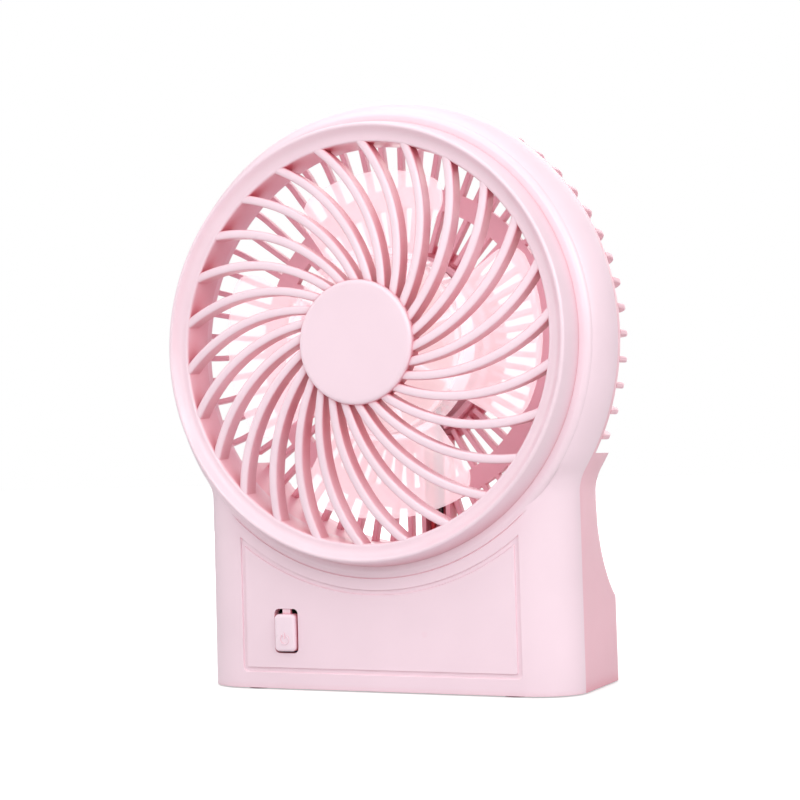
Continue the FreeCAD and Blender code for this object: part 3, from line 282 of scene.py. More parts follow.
def plastic(name, colour, deep, roughness=0.4, grain=0.03, gloss=0.5, coat=0.0, shade=8.0,
            shade_ramp=(0.15, 0.85)):
    """Moulded plastic: fine satin grain, a faint drift of colour and gloss, and painted shade that turns the
    colour towards the deep one in recesses.
    """
    material, nodes, links, shader = start_material(name)
    place = nodes.new("ShaderNodeTexCoord")

    def noise(scale, detail):
        node = nodes.new("ShaderNodeTexNoise")
        set_all(node, Scale=scale, Detail=detail)
        links.new(place.outputs["Object"], node.inputs["Vector"])
        return node.outputs["Fac"]

    def ramp(source, low, high, start, end):
        node = nodes.new("ShaderNodeMapRange")
        set_all(node, From_Min=start, From_Max=end, To_Min=low, To_Max=high)
        links.new(source, node.inputs["Value"])
        return node.outputs["Result"]

    def mix(factor, first, second):
        node = nodes.new("ShaderNodeMix")
        node.data_type = "RGBA"
        links.new(factor, node.inputs["Factor"])
        for socket, value in ((node.inputs[6], first), (node.inputs[7], second)):
            if isinstance(value, tuple):
                socket.default_value = (*value, 1)
            else:
                links.new(value, socket)
        return node.outputs[2]

    paler = tuple(min(1.0, part * 1.04) for part in colour)
    darker = tuple(part * 0.95 for part in colour)
    body = mix(ramp(noise(DRIFT_SCALE, 3.0), 0, 1, 0.3, 0.7), darker, paler)
    # Painted shade: ambient occlusion within the shade distance mixes the deep colour into recesses, creases
    # and gaps between parts.
    recess_shade = nodes.new("ShaderNodeAmbientOcclusion")
    recess_shade.samples = 8
    set_all(recess_shade, Distance=shade * MM)
    body = mix(ramp(recess_shade.outputs["AO"], 0, 1, *shade_ramp), deep, body)
    links.new(body, shader.inputs["Base Color"])
    rough = ramp(noise(GLOSS_SCALE, 4.0), roughness - 0.05, roughness + 0.05, 0.3, 0.7)
    links.new(rough, shader.inputs["Roughness"])
    add_bump(nodes, links, shader, noise(GRAIN_SCALE, 2.0), grain, GRAIN_HEIGHT)
    set_all(shader, Specular_IOR_Level=gloss, Coat_Weight=coat, Coat_Roughness=COAT_ROUGHNESS)
    return material


def metal(name, colour, roughness, streak=0.0):
    """Bare metal with fine marks, drawn out along z by the streak."""
    material, nodes, links, shader = start_material(name)
    set_all(shader, Metallic=1.0, Base_Color=(*colour, 1))
    place, spread, noise, reach = (nodes.new("ShaderNode" + kind)
                                   for kind in ("TexCoord", "Mapping", "TexNoise", "MapRange"))
    set_all(spread, Scale=(400, 400, 400 * (1 - streak)))
    set_all(noise, Scale=4.0, Detail=4.0)
    set_all(reach, To_Min=roughness - 0.07, To_Max=roughness + 0.12)
    links.new(place.outputs["Object"], spread.inputs["Vector"])
    links.new(spread.outputs["Vector"], noise.inputs["Vector"])
    links.new(noise.outputs["Fac"], reach.inputs["Value"])
    links.new(reach.outputs["Result"], shader.inputs["Roughness"])
    add_bump(nodes, links, shader, noise.outputs["Fac"], 0.06, STREAK_HEIGHT)
    return material


# PINK is the plastics' own colour; each second colour is painted shade, the colour they turn to in recesses
# and between parts.
PINK = (0.92, 0.71, 0.79)
SHADE_PINK = (0.78, 0.20, 0.27)
shell_pink = plastic("shell_pink_plastic", PINK, SHADE_PINK, roughness=0.38, grain=0.05, gloss=1.0, shade=3.5,
                     shade_ramp=(0.0, 0.65))
grille_pink = plastic("grille_pink_plastic", PINK, (0.66, 0.15, 0.20), roughness=0.34, grain=0.03, gloss=0.9,
                      shade=9.0, shade_ramp=(0.35, 0.95))
# Painted shade: the rear cover and rear grille take a darker, more saturated copy of the shell's pink, for
# the dimmer light on the pedestal's sides and inside the fan.
rear_shaded_pink = plastic("rear_pink_plastic", (0.92, 0.54, 0.62), SHADE_PINK, roughness=0.42, grain=0.05, gloss=0.6,
                    shade=5.0, shade_ramp=(0.1, 0.8))
button_pink = plastic("button_pink_plastic", (0.94, 0.76, 0.84), SHADE_PINK, roughness=0.3, grain=0.02,
                      shade=2.0)


def blade_material():
    """Clear, faintly pink, glossy plastic: most of what lies behind a blade shows through it."""
    material = plastic("blade_clear_plastic", (1.0, 0.90, 0.94), (0.98, 0.82, 0.88), roughness=0.14,
                       grain=0.015, gloss=1.0, coat=1.0, shade=2.0)
    # Painted light: the blades glow, though they are no lamp, so that they look lit through the clear
    # plastic.
    set_all(material.node_tree.nodes["Principled BSDF"], Alpha=0.36, Emission_Color=(1.0, 0.91, 0.94, 1),
            Emission_Strength=0.62)
    return material


blade_pink = blade_material()


# ---------------------------------------------------------------- the housing's outline

NECK_X = LEG + NECK
NECK_Y = -math.sqrt((HEAD + NECK) ** 2 - NECK_X ** 2)
MEET = math.atan2(NECK_Y, NECK_X)
# The front edge's rounding: how far it reaches in, how far it drops, and how full its curve is.
HEAD_EDGE, LEG_EDGE = (4.5, 8.5, 1.6), (11.0, 9.0, 2.0)


def half_outline():
    """The outline's right half, from the head's top down to the base: (x, y, inward x, inward y, blend)."""
    points = []
    steps = 96
    for step in range(steps + 1):
        turn = math.pi / 2 + (MEET - math.pi / 2) * step / steps
        points.append((HEAD * math.cos(turn), HEAD * math.sin(turn), -math.cos(turn), -math.sin(turn), 0.0))
    steps = 16
    for step in range(1, steps + 1):
        turn = math.pi + MEET * (1 - step / steps)
        along = step / steps
        points.append((NECK_X + NECK * math.cos(turn), NECK_Y + NECK * math.sin(turn), math.cos(turn),
                       math.sin(turn), along * along * (3 - 2 * along)))
    steps = 12
    for step in range(1, steps + 1):
        points.append((LEG, NECK_Y + (BASE - NECK_Y) * step / steps, -1.0, 0.0, 1.0))
    return points


HALF = half_outline()
OUTLINE = [(-x, y, -ix, iy, blend) for x, y, ix, iy, blend in reversed(HALF)] + HALF[1:]


def edge_shape(blend, shrink=0.0):
    return tuple(head + (leg - head) * blend - taken
                 for head, leg, taken in zip(HEAD_EDGE, LEG_EDGE, (shrink, shrink, 0.0)))


def edge_point(point, share, shrink):
    """A point on the rounded front edge: share 0 is where it leaves the side, and 1 is on the face."""
    x, y, inward_x, inward_y, blend = point
    reach, drop, full = edge_shape(blend, shrink)
    face = FACE - shrink
    first = math.asin(max(0.0, (SEAM - face + drop) / drop) ** (full / 2))
    turn = first + (math.pi / 2 - first) * share
    inset = shrink + reach * (1 - math.cos(turn) ** (2 / full))
    z = face - drop * (1 - math.sin(turn) ** (2 / full))
    low = BASE + shrink
    return (x + inward_x * inset, max(y + inward_y * inset, low), z)


def housing_front(name, shrink=0.0, back=SEAM):
    """The solid in front of a depth, with its rounded front edge."""
    rings = []
    if back < SEAM:
        rings.append([(*edge_point(point, 0, shrink)[:2], back) for point in OUTLINE])
    steps = 14
    for step in range(steps + 1):
        rings.append([edge_point(point, step / steps, shrink) for point in OUTLINE])
    return Sketch().loft(rings).made(name)


# The charging socket's opening in the left side: height, half its straight part, end radius and depth.
PORT_HEIGHT, PORT_HALF, PORT_ROUND, PORT_FORWARD = 17.3, 2.87, 1.65, 4.4
PORT_STEPS = 12


def port_hole():
    """A rounded hole along x through the left side, half in each shell."""
    section = []
    for side, start in ((1, 0.0), (-1, math.pi)):
        for step in range(PORT_STEPS + 1):
            turn = start + math.pi * step / PORT_STEPS
            section.append((above_floor(PORT_HEIGHT) + side * PORT_HALF + PORT_ROUND * math.sin(turn),
                            PORT_FORWARD + PORT_ROUND * math.cos(turn)))
    return Sketch().loft([[(x, y, z) for y, z in section] for x in (-60, -36)]).made("port")


FOOT_ASIDE, FOOT_FRONT, FOOT_BACK, FOOT_SEAT = 30.0, 9.3, -13.0, 3.02


def foot_seats():
    """The four shallow round recesses that hold the feet."""
    seats = Sketch()
    for x in (-FOOT_ASIDE, FOOT_ASIDE):
        for z in (FOOT_FRONT, FOOT_BACK):
            seats.loft([[(across, y, deep) for across, deep, _ in circle(FOOT_SEAT, 0, 32, (x, z))]
                        for y in (BASE - 1, BASE + 1.0)])
    return seats.made("feet")


# Half the panel's width, its lower edge's height, the radius of its arc, and its groove's width and depth.
PANEL_HALF, PANEL_LOW, PANEL_ARC = 32.5, 3.7, 52.0
GROOVE_WIDE, GROOVE_DEEP = 1.05, 0.45


def panel_outline(inset, count=48):
    """The front panel's outline: an arc round the head over upright sides, with small corner rounds."""
    half, low, radius = PANEL_HALF - inset, above_floor(PANEL_LOW) + inset, PANEL_ARC + inset
    high = -math.sqrt(radius ** 2 - half ** 2)
    start, end = math.atan2(high, -half), math.atan2(high, half)
    corner = max(1.0 - inset * 0.6, 0.4)
    points = []
    for step in range(count + 1):
        turn = start + (end - start) * step / count
        points.append((radius * math.cos(turn), radius * math.sin(turn)))
    for side in (1, -1):
        for step in range(7):
            turn = -math.pi / 2 * step / 6 if side > 0 else -math.pi / 2 - math.pi / 2 * step / 6
            points.append((side * (half - corner) + corner * math.cos(turn),
                           low + corner + corner * math.sin(turn)))
    return points


def panel_groove():
    """The shallow groove round the panel, with sloping sides."""
    rings = []
    for inset, z in ((-0.1, FACE + 0.2), (-0.1, FACE + 0.01), (0.0, FACE - 0.06),
                     (0.12, FACE - GROOVE_DEEP * 0.85), (0.25, FACE - GROOVE_DEEP),
                     (GROOVE_WIDE - 0.25, FACE - GROOVE_DEEP),
                     (GROOVE_WIDE - 0.12, FACE - GROOVE_DEEP * 0.85), (GROOVE_WIDE, FACE - 0.06),
                     (GROOVE_WIDE + 0.1, FACE + 0.01), (GROOVE_WIDE + 0.1, FACE + 0.2)):
        rings.append([(x, y, z) for x, y in panel_outline(inset)])
    return Sketch().torus(rings).made("groove")


# The button's slot, the indicator's place, and the case screws' places.
SLOT_X, SLOT_HALF, SLOT_LOW, SLOT_HIGH = -21.6, 2.85, above_floor(7.9), above_floor(17.4)
LAMP_X, LAMP_Y, LAMP_HOLE = 11.1, above_floor(12.4), 0.61
SCREW_SPOTS = [(side * x, above_floor(height))
               for x, height in ((37.6, 5.6), (36.4, 35.7)) for side in (-1, 1)]
SCREW_HEAD, SCREW_PILOT, POST, BOARD_POST = 2.1, 1.15, 3.0, 2.2


def screw_posts(*profile):
    """A post for each case screw, leaning in slightly so that it joins the side wall's inside."""
    posts = Sketch()
    for x, y in SCREW_SPOTS:
        posts.disc([(POST, z(y) if callable(z) else z) for z in profile], 24, (x * 0.985, y + 0.1))
    return posts


def make_front_shell():
    shell = housing_front("front_shell_skin")
    bevel_where(shell, 0.7, 3, lambda a, b: max(a.y, b.y) < BASE + NEAR and max(a.z, b.z) > SEAM + NEAR)
    hollow = housing_front("hollow", WALL, SEAM - 3)
    combine(hollow, "DIFFERENCE", Sketch().disc([(DUCT_OUTER, -20), (DUCT_OUTER, 30)], 192).made("keep"))
    combine(shell, "DIFFERENCE", hollow)
    seat = Sketch().revolve([(DUCT - 0.6, 11.0), (49.3, 11.0), (49.5, 12.0), (49.4, 12.6), (49.15, 12.95),
                             (48.8, 13.2), (48.4, 13.4), (48.0, 13.5), (DUCT - 0.6, 13.5)], 256).made("seat")
    combine(shell, "UNION", seat)
    crease = Sketch().revolve([(49.2, 14.0), (49.38, 13.08), (49.5, 12.98), (49.62, 13.08), (49.8, 14.0)],
                              256)
    combine(shell, "DIFFERENCE", crease.made("crease"))
    posts = screw_posts(SEAM, 6.4, 9.6)
    for x in (-33.0, 12.0):
        posts.disc([(BOARD_POST, 7.2), (BOARD_POST, 11.6)], 24, (x, above_floor(21.8)))
    combine(shell, "UNION", posts.made("posts"))
    combine(shell, "DIFFERENCE", Sketch().disc([(DUCT, -20), (DUCT, 30)], 256).made("duct"))
    tools = Sketch()
    slot_middle, slot_tall = (SLOT_LOW + SLOT_HIGH) / 2, (SLOT_HIGH - SLOT_LOW) / 2
    tools.prism(rounded_section(SLOT_X, slot_middle, SLOT_HALF, slot_tall, 1.1), 9, 15)
    tools.disc([(LAMP_HOLE, 9.0), (LAMP_HOLE, 15.0)], 24, (LAMP_X, LAMP_Y))
    combine(shell, "DIFFERENCE", tools.made("slot"))
    combine(shell, "DIFFERENCE", panel_groove())
    combine(shell, "DIFFERENCE", port_hole())
    combine(shell, "DIFFERENCE", foot_seats())
    return finish_piece(shell, shell_pink, "housing", "shell_pink", "front_shell")


# ---------------------------------------------------------------- rear cover

# The back hollows in from the knee, over the base, to the waist, under the head.
WAIST_Y, WAIST_Z = above_floor(39.8), 9.1
KNEE_Y = above_floor(18.3)
HOLLOW_RADIUS = ((REAR - WAIST_Z) ** 2 + (WAIST_Y - KNEE_Y) ** 2) / (2 * (REAR - WAIST_Z))
NECK_TOP = -24.5


def depth_at(y, shrink=0.0):
    """How far back the pedestal reaches at a height."""
    if y >= WAIST_Y:
        return WAIST_Z - shrink
    radius = HOLLOW_RADIUS + shrink
    under = radius ** 2 - (y - WAIST_Y) ** 2
    deep = WAIST_Z + HOLLOW_RADIUS - math.sqrt(under) if under > 0 else REAR
    return min(deep, REAR - shrink) if y > KNEE_Y - 6 else REAR - shrink


def side_at(y):
    """The outline's point at a height, found between the drawn ones."""
    heights = [-point[1] for point in HALF]
    after = min(max(bisect.bisect_left(heights, -y), 1), len(HALF) - 1)
    first, second = HALF[after - 1], HALF[after]
    share = min(max((first[1] - y) / (first[1] - second[1]), 0.0), 1.0)
    return tuple(a + (b - a) * share for a, b in zip(first, second))


def pedestal_sections(shrink, low, high, corner, seam):
    """Level sections of the pedestal behind the seam, from the base to the neck."""
    heights = [low + (KNEE_Y - 3 - low) * step / 8 for step in range(8)]
    heights += [KNEE_Y - 3 + (high - KNEE_Y + 3) * step / 44 for step in range(45)]
    rings = []
    for y in heights:
        point = side_at(y)
        half = point[0] - shrink
        back = depth_at(y, shrink)
        reach, drop, full = edge_shape(point[4])
        side = []
        for z in (seam, 4.6, 3.8, 3.0, 2.2, 0.0, -2.0):
            lift = (z - FACE + drop) / drop
            inset = 0.0
            if lift > 0 and shrink == 0.0:
                inset = reach * (1 - (1 - min(lift, 1.0) ** full) ** (1 / full))
            side.append((half - inset, z))
        rounding = min(corner, back - 2.4)
        for step in range(9):
            turn = math.pi / 2 * step / 8
            side.append((half - rounding + rounding * math.cos(turn),
                         -back + rounding - rounding * math.sin(turn)))
        rings.append([(x, y, z) for x, z in side] + [(-x, y, z) for x, z in reversed(side)])
    return rings


# The rear grille's bars: how far back they lie, the rim that they bend round, and their section.
BAR_BACK, RIM, RIM_ROUND, BAR_DEEP, BAR_HALF, BAR_CORNER = -7.1, 52.4, 7.0, 2.2, 0.6, 0.35
REAR_BARS, BAR_INNER, BAR_OUTER = 60, 21.5, 44.3


def rear_bar(turn, whole):
    """One bar of the rear grille: straight across the back and, on the head's open part, round the rim."""
    path = [(BAR_INNER, BAR_BACK, 0.0, 1.0)]
    if whole:
        path.append((RIM - RIM_ROUND, BAR_BACK, 0.0, 1.0))
        for step in range(1, 11):
            bend = math.pi / 2 * step / 10
            path.append((RIM - RIM_ROUND + RIM_ROUND * math.sin(bend),
                         BAR_BACK + RIM_ROUND * (1 - math.cos(bend)), -math.sin(bend), math.cos(bend)))
        path.append((RIM, 3.4, -1.0, 0.0))
    else:
        path.append((BAR_OUTER, BAR_BACK, 0.0, 1.0))
    cos, sin = math.cos(turn), math.sin(turn)
    rings = []
    for radius, z, inward_radius, inward_z in path:
        ring = []
        for sideways, inward in rounded_section(0.0, BAR_DEEP / 2, BAR_HALF, BAR_DEEP / 2, BAR_CORNER, 3):
            reach = radius + inward_radius * inward
            ring.append((reach * cos - sideways * sin, reach * sin + sideways * cos, z + inward_z * inward))
        rings.append(ring)
    return rings


def lead_room(y_low, y_high, z_high=-2.0):
    """The room for the motor leads in their channel, from one height to another."""
    return Sketch().block((4.6, y_low, -6.1), (9.4, y_high, z_high)).made("lead_room")


def make_rear_cover():
    cover = Sketch().loft(pedestal_sections(0.0, BASE, NECK_TOP, 5.5, SEAM)).made("rear_cover_skin")
    bevel_where(cover, 0.9, 3, lambda a, b: max(a.y, b.y) < BASE + NEAR and max(a.z, b.z) < SEAM - NEAR)
    bevel_where(cover, 0.5, 2, lambda a, b: min(a.y, b.y) > NECK_TOP - NEAR and max(a.z, b.z) < SEAM - NEAR)
    inner = pedestal_sections(WALL, BASE + WALL, NECK_TOP - WALL, 4.0, SEAM + 2)
    hollow = Sketch().loft(inner).made("hollow")
    combine(hollow, "DIFFERENCE", Sketch().disc([(DUCT_OUTER, -40), (DUCT_OUTER, 30)], 192).made("keep"))
    combine(cover, "DIFFERENCE", hollow)
    combine(cover, "DIFFERENCE", Sketch().disc([(DUCT, -40), (DUCT, 30)], 256).made("duct"))
    lip = Sketch().revolve([(50.6, 3.0), (51.9, 3.0), (52.3, 3.3), (52.42, 4.0), (52.42, SEAM),
                            (50.6, SEAM)], 256)
    combine(cover, "UNION", lip.made("lip"))
    combine(cover, "UNION", screw_posts(lambda y: -depth_at(y) + 0.6, SEAM).made("posts"))
    holes = Sketch()
    for x, y in SCREW_SPOTS:
        holes.disc([(SCREW_HEAD, -24.0), (SCREW_HEAD, -0.6)], 32, (x, y))
        holes.disc([(SCREW_PILOT, -0.7), (SCREW_PILOT, 9.0)], 24, (x, y))
    combine(cover, "DIFFERENCE", holes.made("holes"))
    combine(cover, "DIFFERENCE", port_hole())
    combine(cover, "DIFFERENCE", foot_seats())
    combine(cover, "DIFFERENCE", lead_room(-47, -42, -2.6))
    return finish_piece(cover, rear_shaded_pink, "housing", "shell_pink", "rear_cover")


def make_rear_grille():
    grille = Sketch()
    for number in range(REAR_BARS):
        turn = 2 * math.pi * number / REAR_BARS
        x, y = swing(RIM, turn)[:2]
        inside = y < NECK_TOP - 0.8 and abs(x) < side_at(y)[0] + 0.1
        grille.loft(rear_bar(turn, not inside))
    piece = grille.made("rear_grille_bars")
    ring = Sketch().revolve([(31.0, -6.8), (31.3, -7.1), (35.2, -7.1), (35.5, -6.8), (35.5, -4.9),
                             (31.0, -4.9)])
    combine(piece, "UNION", ring.made("ring"))
    plate = Sketch().disc([(22.7, -8.0), (23.3, -7.5), (23.3, -6.4), (20.6, -6.4), (20.6, -3.6), (20.4, -3.4),
                           (19.4, -3.4), (19.2, -3.6), (19.2, -6.4), (14.0, -6.4), (14.0, -4.4), (12.3, -4.4),
                           (12.3, -6.39)], 128)
    combine(piece, "UNION", plate.made("plate"))
    channel = Sketch().block((3.6, -43.0, -7.1), (10.4, -19.7, -3.4)).made("channel")
    combine(channel, "DIFFERENCE", lead_room(-50, -14))
    combine(piece, "UNION", channel)
    combine(piece, "DIFFERENCE", lead_room(-22, -17))
    posts = Sketch()
    for x in (-16.0, 16.0):
        posts.disc([(2.2, -6.5), (2.2, 5.5)], 32, (x, 0))
    combine(piece, "UNION", posts.made("posts"))
    return finish_piece(piece, rear_shaded_pink, "housing", "shell_pink", "rear_grille", "motor_mount")


# ---------------------------------------------------------------- front grille

RIBS, RIB_WIDE, RIB_TALL = 26, 1.9, 4.4
# Each rib is an arc of this radius, and the swirl is how far round the fan it turns on its way out.
RIB_ARC, RIB_FIRST, RIB_SWIRL = 38.0, math.radians(86.7), math.radians(43.5)
HUB_EDGE = 12.6
# A rib's crown drops from the hub to the opening; its shoulders are this deep, and its sides taper this much.
CROWN_FROM, CROWN_HIGH, CROWN_DROP = 13.2, 19.2, 1.7
SHOULDER, TAPER, TAIL_ROUND = 0.52, 0.16, 0.3


def rib_path(count=28):
    """Points and directions along one rib's arc, from inside the hub to inside the bezel."""
    near = Vector(swing(HUB_EDGE - 1.0, RIB_FIRST)[:2])
    far = Vector(swing(OPENING + 0.7, RIB_FIRST + RIB_SWIRL)[:2])
    chord = far - near
    across = Vector((chord.y, -chord.x)).normalized()
    centre = (near + far) / 2 - across * math.sqrt(RIB_ARC ** 2 - chord.length ** 2 / 4)
    start = math.atan2(near.y - centre.y, near.x - centre.x)
    end = math.atan2(far.y - centre.y, far.x - centre.x)
    if end < start:
        end += 2 * math.pi
    points = []
    for step in range(count + 1):
        turn = start + (end - start) * step / count
        points.append((centre + RIB_ARC * Vector((math.cos(turn), math.sin(turn))),
                       Vector((math.cos(turn), math.sin(turn)))))
    return points


def rib_front(radius):
    """How far forward a rib's crown stands at a radius: a shallow dome from the hub to the opening."""
    share = min(max((radius - CROWN_FROM) / (OPENING - CROWN_FROM), 0.0), 1.0)
    return CROWN_HIGH - CROWN_DROP * share


def rib_section(front, back):
    """A rib's section as (sideways, z): a softly domed front, rounded shoulders and tapering sides."""
    half, tail = RIB_WIDE / 2, RIB_WIDE / 2 - TAPER
    points = []
    for step in range(9):
        turn = math.pi * step / 8
        points.append((half * math.cos(turn), front - SHOULDER + SHOULDER * math.sin(turn) ** 0.8))
    points += [(-half, front - 1.0), (-(half + tail) / 2, (front + back) / 2), (-tail, back + TAIL_ROUND),
               (-tail + TAIL_ROUND, back), (tail - TAIL_ROUND, back), (tail, back + TAIL_ROUND),
               ((half + tail) / 2, (front + back) / 2), (half, front - 1.0)]
    return points


def make_front_grille():
    grille = Sketch()
    path = rib_path()
    for number in range(RIBS):
        turn = 2 * math.pi * number / RIBS
        cos, sin = math.cos(turn), math.sin(turn)
        rings = []
        for middle, outward in path:
            radius = middle.length
            front = rib_front(radius)
            back = max(front - RIB_TALL, 13.1)
            if radius < HUB_EDGE + 1.5:
                back = max(back, 14.65)
            ring = []
            for sideways, z in rib_section(front, back):
                spot = middle + outward * sideways
                ring.append((spot.x * cos - spot.y * sin, spot.x * sin + spot.y * cos, z))
            rings.append(ring)
        grille.loft(rings)
    bezel = [(42.0, 9.5), (43.4, 9.5), (43.4, 13.5), (46.9, 13.5), (47.0, 13.62), (46.62, 15.6),
             (46.25, 17.5), (45.98, 18.7), (45.86, 19.0), (45.62, 19.2), (45.3, 19.2), (45.05, 19.02),
             (44.6, 18.45), (44.1, 18.0), (43.6, 17.74), (43.1, 17.62), (42.75, 17.6), (42.45, 17.58),
             (42.2, 17.46), (42.05, 17.2), (42.0, 16.9)]
    grille.revolve(bezel, 320)
    grille.disc([(12.2, 14.6), (12.6, 14.9), (12.6, 18.0), (12.6, 18.29)], 128)
    ribs = grille.made("front_grille_ribs")
    return finish_piece(ribs, grille_pink, "housing", "shell_pink", "front_grille", angle=40)


def make_cap():
    cap = Sketch().disc([(13.0, 18.3), (13.1, 18.45), (13.1, 19.1), (13.06, 19.42), (12.93, 19.68),
                         (12.7, 19.86), (12.4, 19.96), (12.0, 20.0), (11.0, 19.99), (8.0, 19.97),
                         (4.0, 19.95), (1.0, 19.94)], 160)
    return finish_piece(cap.made("hub_cap"), grille_pink, "housing", "shell_pink", "grille_cap")


# ---------------------------------------------------------------- rotor

# The first blade's leading edge and how far round each reaches; its radii; and its depths from edge to edge.
BLADES, BLADE_LEAD, BLADE_SPAN = 4, math.radians(125.0), math.radians(66.0)
BLADE_TIP, BLADE_ROOT, BLADE_ROUND = 37.3, 20.0, 6.0
BLADE_LOW, BLADE_HIGH, BLADE_THICK, BLADE_EDGE = 4.4, 11.4, 1.3, 0.15
WEBS, WEB_FIRST = 8, 0.3


def blade_tip(share):
    """The blade's outer radius along its chord, with rounded tip corners."""
    arc = BLADE_SPAN * BLADE_TIP
    near = min(share, 1 - share) * arc
    if near >= BLADE_ROUND:
        return BLADE_TIP
    return BLADE_TIP - BLADE_ROUND + math.sqrt(BLADE_ROUND ** 2 - (BLADE_ROUND - near) ** 2)


def blade_grid(turned):
    """One blade as a closed skin: two faces a plastic's thickness apart that thin towards the free edges."""
    along, out = 36, 12
    shares = [0.5 - 0.5 * math.cos(math.pi * step / along) for step in range(along + 1)]
    rings = []
    for share in shares:
        lead = BLADE_LEAD + turned - BLADE_SPAN * share
        tip = blade_tip(share)
        lift = share + 0.05 * math.sin(2 * math.pi * share)
        low = BLADE_LOW + (BLADE_HIGH - BLADE_LOW - BLADE_THICK) * lift
        top, bottom = [], []
        for step in range(out + 1):
            reach = BLADE_ROOT - 0.5 + (tip - BLADE_ROOT + 0.5) * (1 - (1 - step / out) ** 1.6)
            free = min((tip - reach) / 2.0, share * BLADE_SPAN * reach / 2.0,
                       (1 - share) * BLADE_SPAN * reach / 2.0)
            free = min(max(free, 0.0), 1.0)
            thick = (BLADE_THICK - BLADE_EDGE) * math.sqrt(1 - (1 - free) ** 2) + BLADE_EDGE
            middle = low + BLADE_THICK / 2
            top.append(swing(reach, lead, middle + thick / 2))
            bottom.append(swing(reach, lead, middle - thick / 2))
        rings.append(top + list(reversed(bottom)))
    return rings


def make_rotor():
    rotor = Sketch()
    for number in range(BLADES):
        rotor.loft(blade_grid(2 * math.pi * number / BLADES))
    rotor.revolve([(19.2, 4.0), (20.5, 4.0), (20.6, 4.15), (20.6, 11.5), (20.45, 11.85), (20.1, 12.0),
                   (19.6, 12.0), (19.3, 11.9), (19.2, 11.7), (19.2, 9.2), (18.8, 8.8), (4.1, 8.8),
                   (3.6, 9.2), (3.6, 11.0), (3.4, 11.2), (1.0, 11.2), (1.0, 6.6), (3.6, 6.6), (3.6, 7.6),
                   (19.2, 7.6)], 160)
    web = [(-0.45, 8.7), (0.45, 8.7), (0.32, 10.6), (-0.32, 10.6)]
    for number in range(WEBS):
        turn = 2 * math.pi * number / WEBS + WEB_FIRST
        cos, sin = math.cos(turn), math.sin(turn)
        rotor.loft([[(reach * cos - side * sin, reach * sin + side * cos, z) for side, z in web]
                    for reach in (3.3, 19.4)])
    return finish_piece(rotor.made("rotor_blades"), blade_pink, "rotor", "blade_pink", "fan_rotor")


# ---------------------------------------------------------------- push button

BUTTON_LOW, BUTTON_HIGH, BUTTON_HALF = above_floor(8.3), above_floor(16.3), 2.5
TONGUE_HALF, TONGUE_TOP = 0.95, above_floor(17.35)
# The raised on-off sign: its height, its ring's two ends, its stroke's rise, and its sections.
SIGN_Y, SIGN_START, SIGN_END, STROKE_RISE = above_floor(10.9), math.radians(125), math.radians(415), 0.85
SIGN_RING = ((0.82, 14.2), (0.84, 14.4), (0.92, 14.48), (1.08, 14.48), (1.16, 14.4), (1.18, 14.2))
SIGN_STROKE = ((0, 14.2), (0, 14.4), (0.08, 14.48))


def make_button():
    middle, tall = (BUTTON_LOW + BUTTON_HIGH) / 2, (BUTTON_HIGH - BUTTON_LOW) / 2
    button = Sketch()
    rings = []
    for inset, z in ((0.0, 11.7), (0.0, 13.4), (0.03, 13.7), (0.12, 13.97), (0.28, 14.17), (0.5, 14.27),
                     (0.8, 14.3), (1.4, 14.3)):
        section = rounded_section(SLOT_X, middle, BUTTON_HALF - inset, tall - inset, max(1.0 - inset, 0.25))
        rings.append([(x, y, z) for x, y in section])
    button.loft(rings)
    button.block((SLOT_X - TONGUE_HALF, BUTTON_HIGH - 0.5, 12.2), (SLOT_X + TONGUE_HALF, TONGUE_TOP, 13.0))
    rings = []
    for step in range(33):
        turn = SIGN_START + (SIGN_END - SIGN_START) * step / 32
        rings.append([(SLOT_X + reach * math.cos(turn), SIGN_Y + reach * math.sin(turn), z)
                      for reach, z in SIGN_RING])
    button.loft(rings)
    rings = []
    for inset, z in SIGN_STROKE:
        section = rounded_section(SLOT_X, SIGN_Y + STROKE_RISE, 0.17 - inset, 0.62 - inset, 0.15 - inset)
        rings.append([(x, y, z) for x, y in section])
    button.loft(rings)
    return finish_piece(button.made("button_paddle"), button_pink, "button", "button_pink", "power_button")


make_front_shell()
make_rear_cover()
make_rear_grille()
make_front_grille()
make_cap()
make_rotor()
make_button()


# ---------------------------------------------------------------- the CAD nodes' own finishes

